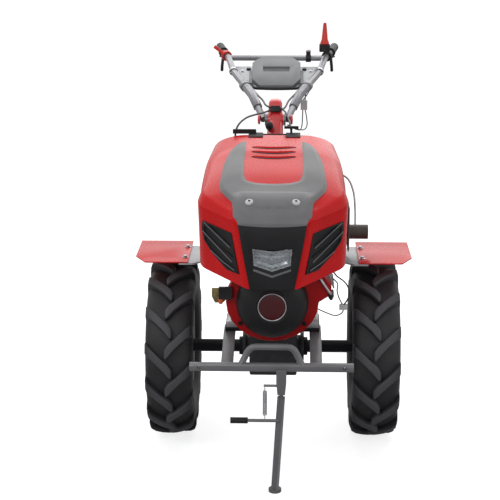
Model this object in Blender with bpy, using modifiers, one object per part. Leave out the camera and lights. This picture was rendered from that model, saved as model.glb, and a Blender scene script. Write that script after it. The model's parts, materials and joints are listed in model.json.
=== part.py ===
"""Walking tractor with a single-cylinder engine, folding front stand and lifting bonnet.

Metres, +Z up. The machine faces -Y, so its own right side is at -X. Places are worked out
with Y = 0 on the wheel axle and Z = 0 on the ground. The last step moves the whole machine
so that the origin lies under the middle of its bounding box.
"""

import math

import bmesh
import bpy
from mathutils import Matrix, Vector
from mathutils.bvhtree import BVHTree

# Clearances
FIT = 0.0003  # between two seated pieces
RUN = 0.0006  # round a pin or a pivot
OVERRUN = 0.004  # how far a cut runs past what it cuts
SINK = 0.004  # how far a welded piece reaches into the next
WELD = 0.00001

SIDES = (("right", -1), ("left", 1))

# Wheels
TYRE_RADIUS = 0.300
TYRE_WIDTH = 0.156
TRACK = 0.676
AXLE_Z = TYRE_RADIUS
LUG_HEIGHT = 0.022
LUG_WIDTH = 0.024
LUG_PAIRS = 14
LUG_SWEEP_SHARE = 0.80
LUG_CURVE_POWER = 0.85
LUG_DROP_SHARE = 0.55
LUG_TOP_SHARE = 0.78
SHOULDER_DROP_SHARE = 0.20
LUG_PAST_CENTRE = 0.006
BEAD_RADIUS = 0.1555
BEAD_WIDTH = 0.104
RIM_WALL = 0.0035
RIM_LIP = 0.013
RIM_LIP_WIDTH = 0.006
RIM_WELL_DEPTH = 0.018
DISC_OFFSET = 0.012
DISC_WALL = 0.006
DISC_HOLE_RADIUS = 0.019
DISC_HOLES = 5
TYRE_STEPS = 28
RIM_STEPS = TYRE_STEPS
AXLE_TUBE_RADIUS = 0.0225
AXLE_COLLAR_RADIUS = 0.031
AXLE_COLLAR = 0.012
AXLE_CORE_RADIUS = 0.012
AXLE_FLANGE_RADIUS = 0.052
AXLE_FLANGE = 0.010
AXLE_STUB = 0.030

# Transmission case
CASE_HALF_WIDTH = 0.080
CASE_FRONT_Y = -0.020
CASE_REAR_Y = 0.195
CASE_TOP_Z = 0.660
CASE_BOTTOM_Z = 0.212
CASE_SUMP_FRONT_Y = -0.095
CASE_NECK_Z = 0.430
CASE_BEVEL = 0.008
HORN_RADIUS = 0.038
HORN_END_X = 0.104
HORN_FLANGE_RADIUS = 0.050
HORN_FLANGE = 0.012
TURRET_RADIUS = 0.048
TURRET_HEIGHT = 0.028
TURRET_Y = 0.140

# Engine
CRANK_Z = 0.575
ENGINE_BASE_Z = 0.469
ENGINE_REAR_Y = -0.115
CRANKCASE_LENGTH = 0.205
CRANKCASE_HALF_WIDTH = 0.118
CRANKCASE_HEIGHT = 0.196
CRANKCASE_BEVEL = 0.012
FOOT_HALF_WIDTH = 0.146
FOOT_HEIGHT = 0.020
FOOT_GUSSET_HALF_WIDTH = 0.132
FOOT_GUSSET_HEIGHT = 0.046
CYLINDER_LEAN = math.radians(25.0)
CYLINDER_START = 0.109
CYLINDER_END = 0.188
CYLINDER_Y = -0.232
CYLINDER_DEPTH = 0.150
FIN_HEIGHT = 0.122
FIN_ROOT = 0.090
FIN_PITCH = 0.0105
FIN_THICKNESS = 0.0042
BLOWER_FRONT_Y = -0.385
BLOWER_RADIUS = 0.128
BLOWER_WIDE_SHARE = 1.13
BLOWER_ARM_X = 0.183
BLOWER_ARM_Z = 0.600
BLOWER_ARM_SLOPE = (0.056, 0.075)
BLOWER_BEVEL = 0.012
RECOIL_FRONT_Y = -0.440
RECOIL_RADIUS = 0.113
BRACKET_PLATE_REACH = 0.045
BRACKET_PLATE_Z = (0.562, 0.610)
BRACKET_PLATE_Y = -0.352
BRACKET_PLATE_THICKNESS = 0.003
BRACKET_PLATE_BEVEL = 0.010
BADGE_RADIUS = 0.0445
BADGE_HEIGHT = 0.005
TANK_SIZE = (0.205, 0.192, 0.150)
TANK_X = -0.070
TANK_BEVEL = 0.030
TANK_NECK_RADIUS = 0.028
TANK_NECK = 0.014
CLEANER_SIZE = (0.105, 0.118, 0.120)
CLEANER_CENTRE = (0.112, -0.262, 0.800)
CLEANER_BEVEL = 0.014
CARB_RADIUS = 0.022
CARB_X = 0.115
MUFFLER_SIZE = (0.150, 0.122, 0.108)
MUFFLER_CENTRE = (0.162, -0.042, 0.732)
EXHAUST_X = 0.134
EXHAUST_Z = 0.662
EXHAUST_RADIUS = 0.014
EXHAUST_TOP_Z = 0.706
MUFFLER_BEVEL = 0.016
TAIL_RADIUS = 0.024
TAIL_END_X = 0.312
TAIL_Z = 0.712
TAIL_Y = -0.030
CAP_RADIUS = 0.0125
CAP_LENGTH = 0.052

# Clutch housing between engine and case
BELL_FRONT_RADIUS = 0.104
BELL_REAR_RADIUS = 0.088
BELL_WAIST_RADIUS = 0.076
BELL_FLANGE = 0.012

# Engine frame
FRAME_HALF_WIDTH = 0.150
FRAME_FRONT_Y = -0.318
FRAME_THICKNESS = 0.012

# Bumper
BUMPER_Y = -0.520
BUMPER_Z = 0.410
BUMPER_RADIUS = 0.014
BUMPER_LENGTH = 0.500
BUMPER_HOLE_SETBACK = 0.028
BUMPER_HOLE_RADIUS = 0.005
STRAP_X = 0.136
STRAP_WIDTH = 0.037
STRAP_THICKNESS = 0.008
STRAP_LAP = 0.070
HOOP_RADIUS = 0.0105
HOOP_HALF_WIDTH = 0.096
HOOP_TOP_HALF = 0.055
HOOP_TOP_Z = 0.475

# Stand
STAND_X = 0.030
STAND_PIVOT_Y = -0.513
STAND_PIVOT_Z = 0.345
BRACKET_WIDTH = 0.031
BRACKET_TOP_Z = 0.406
BRACKET_FOOT_Z = 0.325
BRACKET_FRONT_Y = -0.536
BRACKET_REAR_Y = -0.500
TONGUE_THICKNESS = 0.012
TONGUE_RADIUS = 0.012
TONGUE_GAP = 0.0006
STAND_PIN_RADIUS = 0.004
LEG_RADIUS = 0.012
LEG_TOP_DROP = 0.034
LEG_LEAN = 0.018
FOOT_RADIUS = 0.020
FOOT_THICKNESS = 0.006
PEDAL_Z = 0.238
PEDAL_ROD_RADIUS = 0.005
PEDAL_ROD_END_X = -0.072
PEDAL_GRIP_END_X = -0.126
PEDAL_GRIP_RADIUS = 0.0095
SPRING_X = -0.020
SPRING_Y = -0.526
SPRING_TOP_Z = 0.352
SPRING_RADIUS = 0.007
SPRING_ARM_RADIUS = 0.004

# Mudguards
GUARD_Z = 0.630
GUARD_THICKNESS = 0.004
GUARD_INNER_X = 0.279
GUARD_OUTER_X = 0.457
GUARD_FRONT_Y = -0.140
GUARD_REAR_Y = 0.134
GUARD_CHAMFER_X = 0.037
GUARD_CHAMFER_Y = 0.073
CARRIER_THICKNESS = 0.006
CARRIER_FRONT_Y = 0.002
CARRIER_DEPTH = 0.048
GUSSET_INNER_X = 0.235
GUSSET_OUTER_X = 0.310
GUSSET_CHAMFER = 0.028
GUSSET_FRONT_Y = -0.138
GUSSET_REAR_Y = 0.084

# Rear hitch
HITCH_WIDTH = 0.084
HITCH_DEPTH = 0.075
HITCH_BOTTOM_Z = 0.285
HITCH_TOP_Z = 0.390
HITCH_WALL = 0.010
HITCH_PIN_RADIUS = 0.009

# Bonnet
BONNET_REAR_Y = 0.050
BONNET_NOSE_Y = -0.470
BONNET_HALF_WIDTH = 0.228
BONNET_BASE_Z = 0.640
BONNET_PEAK_Z = 1.010
BONNET_WALL = 0.0025
BONNET_PARTS = 2
MASK_THICKNESS = 0.003
LAMP_DEPTH = 0.022
GRILLE_THICKNESS = 0.010
GRILLE_FLOOR = 0.003
BUTTON_X = 0.071
BUTTON_Y = -0.404
BUTTON_RADIUS = 0.0135
BUTTON_HEIGHT = 0.008
LOUVRE_LENGTH = 0.150
LOUVRE_WIDTH = 0.008
LOUVRE_PITCH = 0.026
LOUVRE_SETBACK = 0.052
LOUVRES = 3
HINGE_SETBACK = 0.016
HINGE_X = 0.062
HINGE_LENGTH = 0.048
HINGE_REACH = 0.045
HINGE_LEAF = 0.003
HINGE_RADIUS = 0.006
KNUCKLE_RADIUS = 0.010
KNUCKLE_LENGTH = 0.022
POST_WIDTH = 0.026
POST_THICKNESS = 0.006

# Steering column
COLUMN_FLANGE_RADIUS = 0.054
COLUMN_FLANGE = 0.010
COLUMN_HEAD_Y = 0.300
COLUMN_HEAD_Z = 1.030
COLUMN_HEAD_RADIUS = 0.021
COLUMN_HEAD_WIDTH = 0.056
COLUMN_FOOT_SIZE = (0.080, 0.062)
COLUMN_NECK_SIZE = (0.052, 0.044)
COLUMN_CAP_SIZE = (0.045, 0.036)
COLUMN_CAP_Z = 1.098
COLUMN_CAP_BEVEL = 0.014
KNOB_X = -0.020
KNOB_Z = 0.995
KNOB_STEM_RADIUS = 0.004
KNOB_RADIUS = 0.014
KNOB_HEIGHT = 0.034
KNOB_STEM = 0.012

# Handlebar
BAR_RADIUS = 0.0125
BAR_END_Y = 0.948
CHEEK_THICKNESS = 0.008
CROSS_Z = 1.187
CROSS_Y = 0.750
CROSS_RADIUS = 0.0105
ARM_GRIP_RADIUS = 0.0165
ARM_GRIP_SHARES = (0.48, 0.40)
CLAMP_RADIUS = 0.0195
CLAMP_LENGTH = 0.018
GRIP_RADIUS = 0.0165
GRIP_LENGTH = 0.115
HAND_LEVER_LENGTH = 0.105
HAND_LEVER_DROP = 0.034
HAND_LEVER_WIDTH = 0.014
HAND_LEVER_THICKNESS = 0.005

# Console
PLATE_THICKNESS = 0.003
PLATE_REAR = (0.173, 0.705)
PLATE_FRONT = (0.1207, 0.523)
PLATE_SLOT = (0.1045, 0.680)
PLATE_SLOT_SIZE = (0.010, 0.030)
PLATE_BEVEL = 0.010
CONSOLE_REAR_Y = 0.700
CONSOLE_FRONT_Y = 0.510
CONSOLE_REAR_RISE = 0.038
CONSOLE_FRONT_RISE = 0.012
CONSOLE_SKIRT = 0.016
CONSOLE_SKIRT_REACH = 0.013
CONSOLE_BEVEL = 0.005
RECESS_HALF_WIDTH = 0.049
RECESS_Y = 0.600
RECESS_LENGTH = 0.032
RECESS_DEPTH = 0.004
EAR_HALF_WIDTH = 0.100
EAR_START_Y = 0.545
EAR_LENGTH = 0.115
EAR_THICKNESS = 0.004
LEVER_SHARE = 0.50
LEVER_INSET = 0.010
LEVER_FOOT_RADIUS = 0.0165
LEVER_TIP_RADIUS = 0.0065
LEVER_TOP_Z = 1.317
LEVER_BRACKET = 0.030
LEVER_BRACKET_HALF = 0.020
THROTTLE_SHARE = 0.50
THROTTLE_REACH = 0.046
THROTTLE_THICKNESS = 0.006
BAR_KNOB_X = 0.119
BAR_KNOB_RADIUS = 0.0095
BAR_KNOB_TOP = 0.030
BAR_CLAMP_RADIUS = 0.0150
SLEEVE_SIDES = 16

# Control cables
CABLE_RADIUS = 0.0033
CABLE_STEP = 6 * CABLE_RADIUS
CLIP_Z = 1.066
CLIP_SIZE = (0.034, 0.010, 0.022)
CLIP_PITCH = 0.010

# Colours, roughness and metallic value
FINISHES = {
    "red_paint": ((0.62, 0.03, 0.02), 0.35, 0.0),
    "black_paint": ((0.02, 0.02, 0.022), 0.45, 0.0),
    "grey_paint": ((0.36, 0.37, 0.39), 0.45, 0.0),
    "light_grey_paint": ((0.60, 0.61, 0.63), 0.45, 0.0),
    "cast_grey": ((0.10, 0.10, 0.11), 0.6, 0.2),
    "silver_casting": ((0.62, 0.62, 0.62), 0.45, 0.9),
    "rim_silver": ((0.60, 0.60, 0.61), 0.4, 0.3),
    "rubber": ((0.025, 0.025, 0.027), 0.85, 0.0),
    "tyre": ((0.045, 0.044, 0.046), 0.8, 0.0),
    "black_plastic": ((0.03, 0.03, 0.032), 0.5, 0.0),
    "exhaust": ((0.10, 0.10, 0.10), 0.55, 0.5),
    "gold_zinc": ((0.62, 0.48, 0.18), 0.35, 0.9),
    "zinc": ((0.65, 0.66, 0.68), 0.35, 0.9),
    "clear_lens": ((0.85, 0.88, 0.90), 0.08, 0.0),
    "red_plastic": ((0.70, 0.05, 0.03), 0.4, 0.0),
    "white_plastic": ((0.80, 0.80, 0.79), 0.4, 0.0),
    "cable": ((0.09, 0.09, 0.095), 0.5, 0.0),
}


# Tools


def finish_of(name):
    found = bpy.data.materials.get(name)
    if found:
        return found
    colour, roughness, metallic = FINISHES[name]
    material = bpy.data.materials.new(name)
    material.use_nodes = True
    shader = material.node_tree.nodes["Principled BSDF"]
    shader.inputs["Base Color"].default_value = (*colour, 1.0)
    shader.inputs["Roughness"].default_value = roughness
    shader.inputs["Metallic"].default_value = metallic
    return material


def link(data, name="piece"):
    obj = bpy.data.objects.new(name, data)
    bpy.context.scene.collection.objects.link(obj)
    return obj


AXIS_TURNS = {
    "Z": Matrix.Identity(4),
    "X": Matrix(((0, 0, 1, 0), (1, 0, 0, 0), (0, 1, 0, 0), (0, 0, 0, 1))),
    "Y": Matrix(((1, 0, 0, 0), (0, 0, -1, 0), (0, 1, 0, 0), (0, 0, 0, 1))),
}


def baked(obj):
    """The object as a plain mesh in machine coordinates, closed and facing out."""
    bpy.context.view_layer.update()
    graph = bpy.context.evaluated_depsgraph_get()
    mesh = bpy.data.meshes.new_from_object(obj.evaluated_get(graph))
    mesh.transform(obj.matrix_world)
    bpy.data.objects.remove(obj, do_unlink=True)
    shape = bmesh.new()
    shape.from_mesh(mesh)
    bmesh.ops.remove_doubles(shape, verts=shape.verts, dist=WELD)
    bmesh.ops.recalc_face_normals(shape, faces=shape.faces)
    shape.to_mesh(mesh)
    shape.free()
    mesh.materials.clear()
    return link(mesh)


def placed(obj, at=(0, 0, 0), axis="Z", turn=None):
    """Turn the local +Z to a machine axis, then by the turn, then move to a point."""
    spin = turn if turn is not None else Matrix.Identity(4)
    obj.matrix_world = Matrix.Translation(at) @ spin @ AXIS_TURNS[axis]
    return baked(obj)


def bevelled(obj, width, segments=2, angle=40.0):
    edge = obj.modifiers.new("Bevel", "BEVEL")
    edge.width = width
    edge.segments = segments
    edge.limit_method = "ANGLE"
    edge.angle_limit = math.radians(angle)
    return baked(obj)


def block(size, at, turn=None, bevel=0, segments=2):
    shape = bmesh.new()
    bmesh.ops.create_cube(shape, size=1)
    bmesh.ops.scale(shape, vec=size, verts=shape.verts)
    mesh = bpy.data.meshes.new("block")
    shape.to_mesh(mesh)
    shape.free()
    obj = link(mesh)
    if bevel:
        obj = bevelled(obj, bevel, segments)
    return placed(obj, at, "Z", turn)


def span_block(low, high, bevel=0, segments=2):
    """A block between two opposite corners."""
    size = [b - a for a, b in zip(low, high)]
    middle = [(a + b) / 2 for a, b in zip(low, high)]
    return block(size, middle, None, bevel, segments)


def rod(radius, length, at, axis="Z", sides=24, top_radius=None, turn=None):
    """A cylinder or a cone, centred on a point."""
    shape = bmesh.new()
    bmesh.ops.create_cone(
        shape,
        cap_ends=True,
        segments=sides,
        radius1=radius,
        radius2=radius if top_radius is None else top_radius,
        depth=length,
    )
    mesh = bpy.data.meshes.new("rod")
    shape.to_mesh(mesh)
    shape.free()
    return placed(link(mesh), at, axis, turn)


def rod_between(radius, start, end, sides=16):
    start, end = Vector(start), Vector(end)
    run = end - start
    turn = run.to_track_quat("Z", "Y").to_matrix().to_4x4()
    return rod(radius, run.length, (start + end) / 2, "Z", sides, None, turn)


def turned(profile, at, axis="Z", steps=32, turn=None):
    """A closed profile of (radius, height) revolved about its axis."""
    shape = bmesh.new()
    points = [shape.verts.new((radius, 0, height)) for radius, height in profile]
    for first, second in zip(points, points[1:] + points[:1]):
        if first.co.x > WELD or second.co.x > WELD:
            shape.edges.new((first, second))
    mesh = bpy.data.meshes.new("turned")
    shape.to_mesh(mesh)
    shape.free()
    obj = link(mesh)
    screw = obj.modifiers.new("Screw", "SCREW")
    screw.steps = steps
    screw.render_steps = steps
    screw.use_merge_vertices = True
    screw.merge_threshold = WELD
    return placed(obj, at, axis, turn)


def sheet(outline, thickness, at=(0, 0, 0), axis="Z", holes=(), turn=None):
    """A flat outline, with holes, extruded to both sides of its plane."""
    curve = bpy.data.curves.new("outline", "CURVE")
    curve.dimensions = "2D"
    curve.fill_mode = "BOTH"
    curve.extrude = thickness / 2
    for ring in (outline, *holes):
        spline = curve.splines.new("POLY")
        spline.points.add(len(ring) - 1)
        for point, (across, up) in zip(spline.points, ring):
            point.co = (across, up, 0, 1)
        spline.use_cyclic_u = True
    return placed(link(curve), at, axis, turn)


def circle(radius, sides, middle=(0, 0)):
    return [
        (
            middle[0] + radius * math.cos(math.tau * i / sides),
            middle[1] + radius * math.sin(math.tau * i / sides),
        )
        for i in range(sides)
    ]


def strip(points, thickness):
    """The outline of a flat bar bent along a line of points."""
    line = [Vector(point) for point in points]
    left, right = [], []
    for i, point in enumerate(line):
        before = (point - line[i - 1]).normalized() if i else None
        after = (line[i + 1] - point).normalized() if i < len(line) - 1 else None
        along = ((before or after) + (after or before)).normalized()
        normal = Vector((-along.y, along.x))
        reach = thickness / 2 / max(normal.dot(Vector((-(after or before).y, (after or before).x))), 0.3)
        left.append(tuple(point + normal * reach))
        right.append(tuple(point - normal * reach))
    return left + right[::-1]


def bent(points, radius, steps=5):
    """A line of points with each corner rounded to the bend radius."""
    line = [Vector(point) for point in points]
    made = [line[0]]
    for before, corner, after in zip(line, line[1:], line[2:]):
        into, out = (corner - before).normalized(), (after - corner).normalized()
        angle = into.angle(out)
        cut = min(
            radius * math.tan(angle / 2),
            (corner - before).length / 2,
            (after - corner).length / 2,
        )
        start, end = corner - into * cut, corner + out * cut
        for i in range(steps + 1):
            share = i / steps
            made.append(
                start * (1 - share) ** 2
                + corner * (2 * share * (1 - share))
                + end * share**2
            )
    made.append(line[-1])
    return made


def curve_point(points, i, t):
    """A point of the smooth curve through the points, at a share of span i."""
    before, here = points[max(i - 1, 0)], points[i]
    after, beyond = points[i + 1], points[min(i + 2, len(points) - 1)]
    return (
        2 * here
        + (after - before) * t
        + (2 * before - 5 * here + 4 * after - beyond) * t**2
        + (3 * here - before - 3 * after + beyond) * t**3
    ) / 2


def smooth_line(places, step):
    """A smooth curve through the places, with a point about every step."""
    points = [Vector(place) for place in places]
    made = []
    for i, (here, after) in enumerate(zip(points, points[1:])):
        parts = max(1, round((after - here).length / step))
        made += [curve_point(points, i, part / parts) for part in range(parts)]
    return made + [points[-1]]


def tube(points, radius, resolution=2):
    """A round bar along a line of points."""
    curve = bpy.data.curves.new("tube", "CURVE")
    curve.dimensions = "3D"
    curve.bevel_depth = radius
    curve.bevel_resolution = resolution
    curve.use_fill_caps = True
    spline = curve.splines.new("POLY")
    spline.points.add(len(points) - 1)
    for point, place in zip(spline.points, points):
        point.co = (*place, 1)
    return baked(link(curve))


def boolean(obj, others, operation, solver="EXACT"):
    for other in others:
        change = obj.modifiers.new(operation.title(), "BOOLEAN")
        change.operation = operation
        change.solver = solver
        change.object = other
    obj = baked(obj)
    for other in others:
        bpy.data.objects.remove(other, do_unlink=True)
    return obj


def fused(first, *others):
    return boolean(first, others, "UNION")


def cut(obj, *cutters):
    return boolean(obj, cutters, "DIFFERENCE")


def piece(obj, name, finish, body):
    """Name the finished solid, give it its material and hang it on its body."""
    obj.name = name
    obj.data.name = name
    obj.data.materials.append(finish_of(finish))
    obj.data.transform(Matrix.Translation(-body.location))
    obj.parent = body
    obj.data.shade_smooth()
    obj.data.set_sharp_from_angle(angle=math.radians(32))
    bpy.context.scene.collection.objects.unlink(obj)
    bpy.data.collections["walking_tractor"].objects.link(obj)
    return obj


def body(name, at, parent=None):
    """An empty on the joint's axis, which carries the pieces of a body."""
    empty = bpy.data.objects.new(name, None)
    bpy.data.collections["walking_tractor"].objects.link(empty)
    empty.location = at
    empty["machine_place"] = tuple(at)
    return empty


# Wheels


def tyre_profile():
    """Half section from the bead over the wall to the crown, mirrored to a closed ring."""
    carcass = TYRE_RADIUS - LUG_HEIGHT
    wall = carcass - BEAD_RADIUS
    half = TYRE_WIDTH / 2
    bead = BEAD_WIDTH / 2
    # columns: height above the bead as a share of the wall, half width as a share
    shares = (
        (0.00, None),
        (0.14, None),
        (0.30, 0.93),
        (0.52, 1.00),
        (0.76, 0.96),
        (0.93, 0.80),
        (1.00, 0.36),
    )
    side = [
        (BEAD_RADIUS + wall * up, bead if out is None else half * out)
        for up, out in shares
    ]
    return side + [(radius, -across) for radius, across in reversed(side)]


def crown_radius(across):
    """Radius of the bare carcass at a distance from the middle plane."""
    carcass = TYRE_RADIUS - LUG_HEIGHT
    share = abs(across) / (TYRE_WIDTH / 2)
    drop = (carcass - BEAD_RADIUS) * SHOULDER_DROP_SHARE
    return carcass - drop * share**3


def lugs():
    """Bars that run back from the middle of the tread to each shoulder in turn."""
    shape = bmesh.new()
    pitch = math.tau / LUG_PAIRS
    half = TYRE_WIDTH / 2
    # columns: place between the inner end and the shoulder, width share
    stations = ((0.0, 0.85), (0.55, 1.00), (1.0, 1.25))
    for hand, offset in ((1, 0.0), (-1, pitch / 2)):
        for number in range(LUG_PAIRS):
            rings = []
            for place, width in stations:
                across = -LUG_PAST_CENTRE + (half + LUG_PAST_CENTRE) * place
                sweep = pitch * LUG_SWEEP_SHARE * place**LUG_CURVE_POWER
                angle = number * pitch + offset - sweep
                drop = crown_radius(0) - crown_radius(across)
                top = TYRE_RADIUS - drop * LUG_DROP_SHARE
                foot = crown_radius(across) - SINK * (1 + 2 * place)
                spread = LUG_WIDTH * width / 2
                ring = []
                for radius, sign in (
                    (foot, -1),
                    (foot, 1),
                    (top, LUG_TOP_SHARE),
                    (top, -LUG_TOP_SHARE),
                ):
                    swing = angle + sign * spread / TYRE_RADIUS
                    ring.append(
                        shape.verts.new(
                            (
                                hand * across,
                                -radius * math.sin(swing),
                                radius * math.cos(swing),
                            )
                        )
                    )
                rings.append(ring)
            for first, second in zip(rings, rings[1:]):
                for i in range(4):
                    j = (i + 1) % 4
                    shape.faces.new((first[i], first[j], second[j], second[i]))
            shape.faces.new(rings[0])
            shape.faces.new(rings[-1])
    bmesh.ops.recalc_face_normals(shape, faces=shape.faces)
    mesh = bpy.data.meshes.new("lugs")
    shape.to_mesh(mesh)
    shape.free()
    return link(mesh)


def rim_profile():
    """Well, seats, lips and the disc of a welded wheel, as one closed section."""
    seat = BEAD_RADIUS - FIT
    half = BEAD_WIDTH / 2 + FIT
    lip = seat + RIM_LIP
    well = seat - RIM_WELL_DEPTH
    well_half = BEAD_WIDTH * 0.24
    slope = BEAD_WIDTH * 0.30
    inner = seat - RIM_WALL
    disc_top = DISC_OFFSET + DISC_WALL
    eye = AXLE_TUBE_RADIUS + RUN
    return [
        (inner, half),
        (inner, half + RIM_LIP_WIDTH),
        (lip, half + RIM_LIP_WIDTH),
        (lip, half),
        (seat, half),
        (seat, slope),
        (well, well_half),
        (well, -well_half),
        (seat, -slope),
        (seat, -half),
        (lip, -half),
        (lip, -half - RIM_LIP_WIDTH),
        (inner, -half - RIM_LIP_WIDTH),
        (inner, -slope),
        (well - RIM_WALL, -well_half),
        (well - RIM_WALL, DISC_OFFSET),
        (eye, DISC_OFFSET),
        (eye, disc_top),
        (well - RIM_WALL, disc_top),
        (well - RIM_WALL, well_half),
        (inner, slope),
    ]


def make_wheels(root):
    for side, sign in SIDES:
        axis_body = body(f"wheel_{side}", (sign * TRACK / 2, 0, AXLE_Z))
        axis_body.parent = root
        centre = (sign * TRACK / 2, 0, AXLE_Z)
        carcass = turned(tyre_profile(), (0, 0, 0), "X", TYRE_STEPS)
        tread = fused(carcass, lugs())
        tread.matrix_world = Matrix.Translation(centre)
        piece(baked(tread), f"tyre_{side}", "tyre", axis_body)

        rim = turned(rim_profile(), (0, 0, 0), "X", RIM_STEPS)
        hole_ring = (AXLE_FLANGE_RADIUS + BEAD_RADIUS - RIM_WELL_DEPTH) / 2
        holes = []
        for number in range(DISC_HOLES):
            angle = math.tau * number / DISC_HOLES
            holes.append(
                rod(
                    DISC_HOLE_RADIUS,
                    DISC_WALL + 2 * OVERRUN,
                    (
                        DISC_OFFSET + DISC_WALL / 2,
                        hole_ring * math.sin(angle),
                        hole_ring * math.cos(angle),
                    ),
                    "X",
                    10,
                )
            )
        rim = cut(rim, *holes)
        rim.matrix_world = Matrix.Translation(centre) @ Matrix.Scale(sign, 4, (1, 0, 0))
        piece(baked(rim), f"rim_{side}", "rim_silver", axis_body)

        inner = HORN_END_X + FIT
        disc_face = TRACK / 2 + DISC_OFFSET
        stub_end = disc_face + DISC_WALL + AXLE_STUB
        profile = [
            (0, stub_end),
            (AXLE_TUBE_RADIUS, stub_end),
            (AXLE_TUBE_RADIUS, disc_face - FIT),
            (AXLE_FLANGE_RADIUS, disc_face - FIT),
            (AXLE_FLANGE_RADIUS, disc_face - FIT - AXLE_FLANGE),
            (AXLE_TUBE_RADIUS, disc_face - FIT - 2 * AXLE_FLANGE),
            (AXLE_CORE_RADIUS, disc_face - FIT - 2 * AXLE_FLANGE),
            (AXLE_CORE_RADIUS, inner + AXLE_COLLAR),
            (AXLE_COLLAR_RADIUS, inner + AXLE_COLLAR),
            (AXLE_COLLAR_RADIUS, inner),
            (0, inner),
        ]
        tube_piece = turned(profile, (0, 0, 0), "X", 20)
        low, high = inner + AXLE_COLLAR - SINK, disc_face - 2 * AXLE_FLANGE
        hexagon = rod(
            AXLE_TUBE_RADIUS, high - low, ((low + high) / 2, 0, 0), "X", 6
        )
        tube_piece = fused(tube_piece, hexagon)
        tube_piece.matrix_world = Matrix.Translation((0, 0, AXLE_Z)) @ Matrix.Scale(
            sign, 4, (1, 0, 0)
        )
        piece(baked(tube_piece), f"axle_{side}", "black_paint", axis_body)


# Transmission, clutch housing, hitch


def make_transmission(root):
    belly = (CASE_SUMP_FRONT_Y + CASE_REAR_Y) / 2
    waist_z = AXLE_Z + HORN_FLANGE_RADIUS + CASE_BEVEL
    outline = [
        (CASE_FRONT_Y, CASE_TOP_Z),
        (CASE_FRONT_Y, CASE_NECK_Z),
        (CASE_SUMP_FRONT_Y, waist_z),
        (CASE_SUMP_FRONT_Y, AXLE_Z - HORN_RADIUS),
        (CASE_SUMP_FRONT_Y + HORN_RADIUS, CASE_BOTTOM_Z),
        (belly, CASE_BOTTOM_Z),
        (CASE_REAR_Y, HITCH_BOTTOM_Z - HITCH_WALL),
        (CASE_REAR_Y, CASE_NECK_Z),
        (CASE_REAR_Y - HITCH_WALL, CASE_NECK_Z + HORN_FLANGE_RADIUS),
        (CASE_REAR_Y - HITCH_WALL, CASE_TOP_Z),
    ]
    case = bevelled(
        sheet(outline, 2 * CASE_HALF_WIDTH, (0, 0, 0), "X"), CASE_BEVEL, 2, 30.0
    )
    extras = []
    for _, sign in SIDES:
        middle = sign * (CASE_HALF_WIDTH + HORN_END_X) / 2 - sign * SINK
        length = HORN_END_X - CASE_HALF_WIDTH + 2 * SINK
        extras.append(rod(HORN_RADIUS, length, (middle, 0, AXLE_Z), "X", 24))
        extras.append(
            rod(
                HORN_FLANGE_RADIUS,
                HORN_FLANGE,
                (sign * (HORN_END_X - HORN_FLANGE / 2), 0, AXLE_Z),
                "X",
                28,
            )
        )
    turret_low = CASE_TOP_Z - SINK
    extras.append(
        rod(
            TURRET_RADIUS,
            TURRET_HEIGHT + SINK,
            (0, TURRET_Y, turret_low + (TURRET_HEIGHT + SINK) / 2),
            "Z",
            28,
        )
    )
    piece(fused(case, *extras), "transmission_case", "cast_grey", root)

    front = ENGINE_REAR_Y + FIT
    rear = CASE_FRONT_Y - FIT
    bell = turned(
        [
            (0, front),
            (BELL_FRONT_RADIUS, front),
            (BELL_FRONT_RADIUS, front + BELL_FLANGE),
            (BELL_FRONT_RADIUS - BELL_FLANGE / 2, front + BELL_FLANGE),
            (BELL_WAIST_RADIUS, rear - 2 * BELL_FLANGE),
            (BELL_WAIST_RADIUS, rear - BELL_FLANGE),
            (BELL_REAR_RADIUS - BELL_FLANGE, rear - BELL_FLANGE),
            (BELL_REAR_RADIUS - BELL_FLANGE, rear),
            (0, rear),
        ],
        (0, 0, 0),
        "Z",
        28,
    )
    bell.matrix_world = Matrix.Translation((0, 0, CRANK_Z)) @ Matrix.Rotation(
        -math.pi / 2, 4, "X"
    )
    piece(baked(bell), "clutch_housing", "silver_casting", root)

    near = CASE_REAR_Y + FIT
    half = HITCH_WIDTH / 2
    clevis = sheet(
        [
            (near, HITCH_BOTTOM_Z),
            (near + HITCH_DEPTH, HITCH_BOTTOM_Z),
            (near + HITCH_DEPTH, HITCH_BOTTOM_Z + HITCH_WALL),
            (near + HITCH_WALL, HITCH_BOTTOM_Z + HITCH_WALL),
            (near + HITCH_WALL, HITCH_TOP_Z - HITCH_WALL),
            (near + HITCH_DEPTH, HITCH_TOP_Z - HITCH_WALL),
            (near + HITCH_DEPTH, HITCH_TOP_Z),
            (near, HITCH_TOP_Z),
        ],
        2 * half,
        (0, 0, 0),
        "X",
    )
    pin_hole = rod(
        HITCH_PIN_RADIUS,
        HITCH_TOP_Z - HITCH_BOTTOM_Z + 2 * OVERRUN,
        (0, near + HITCH_DEPTH - half / 2, (HITCH_TOP_Z + HITCH_BOTTOM_Z) / 2),
    )
    piece(cut(clevis, pin_hole), "rear_hitch", "black_paint", root)


# Engine

# The starter cover's section. Columns: share of its radius, share of its depth.
RECOIL_SHARES = (
    (0.00, 1.00),
    (0.47, 1.00),
    (0.74, 0.86),
    (0.91, 0.58),
    (0.99, 0.20),
    (1.00, 0.00),
    (0.00, 0.00),
)


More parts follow.
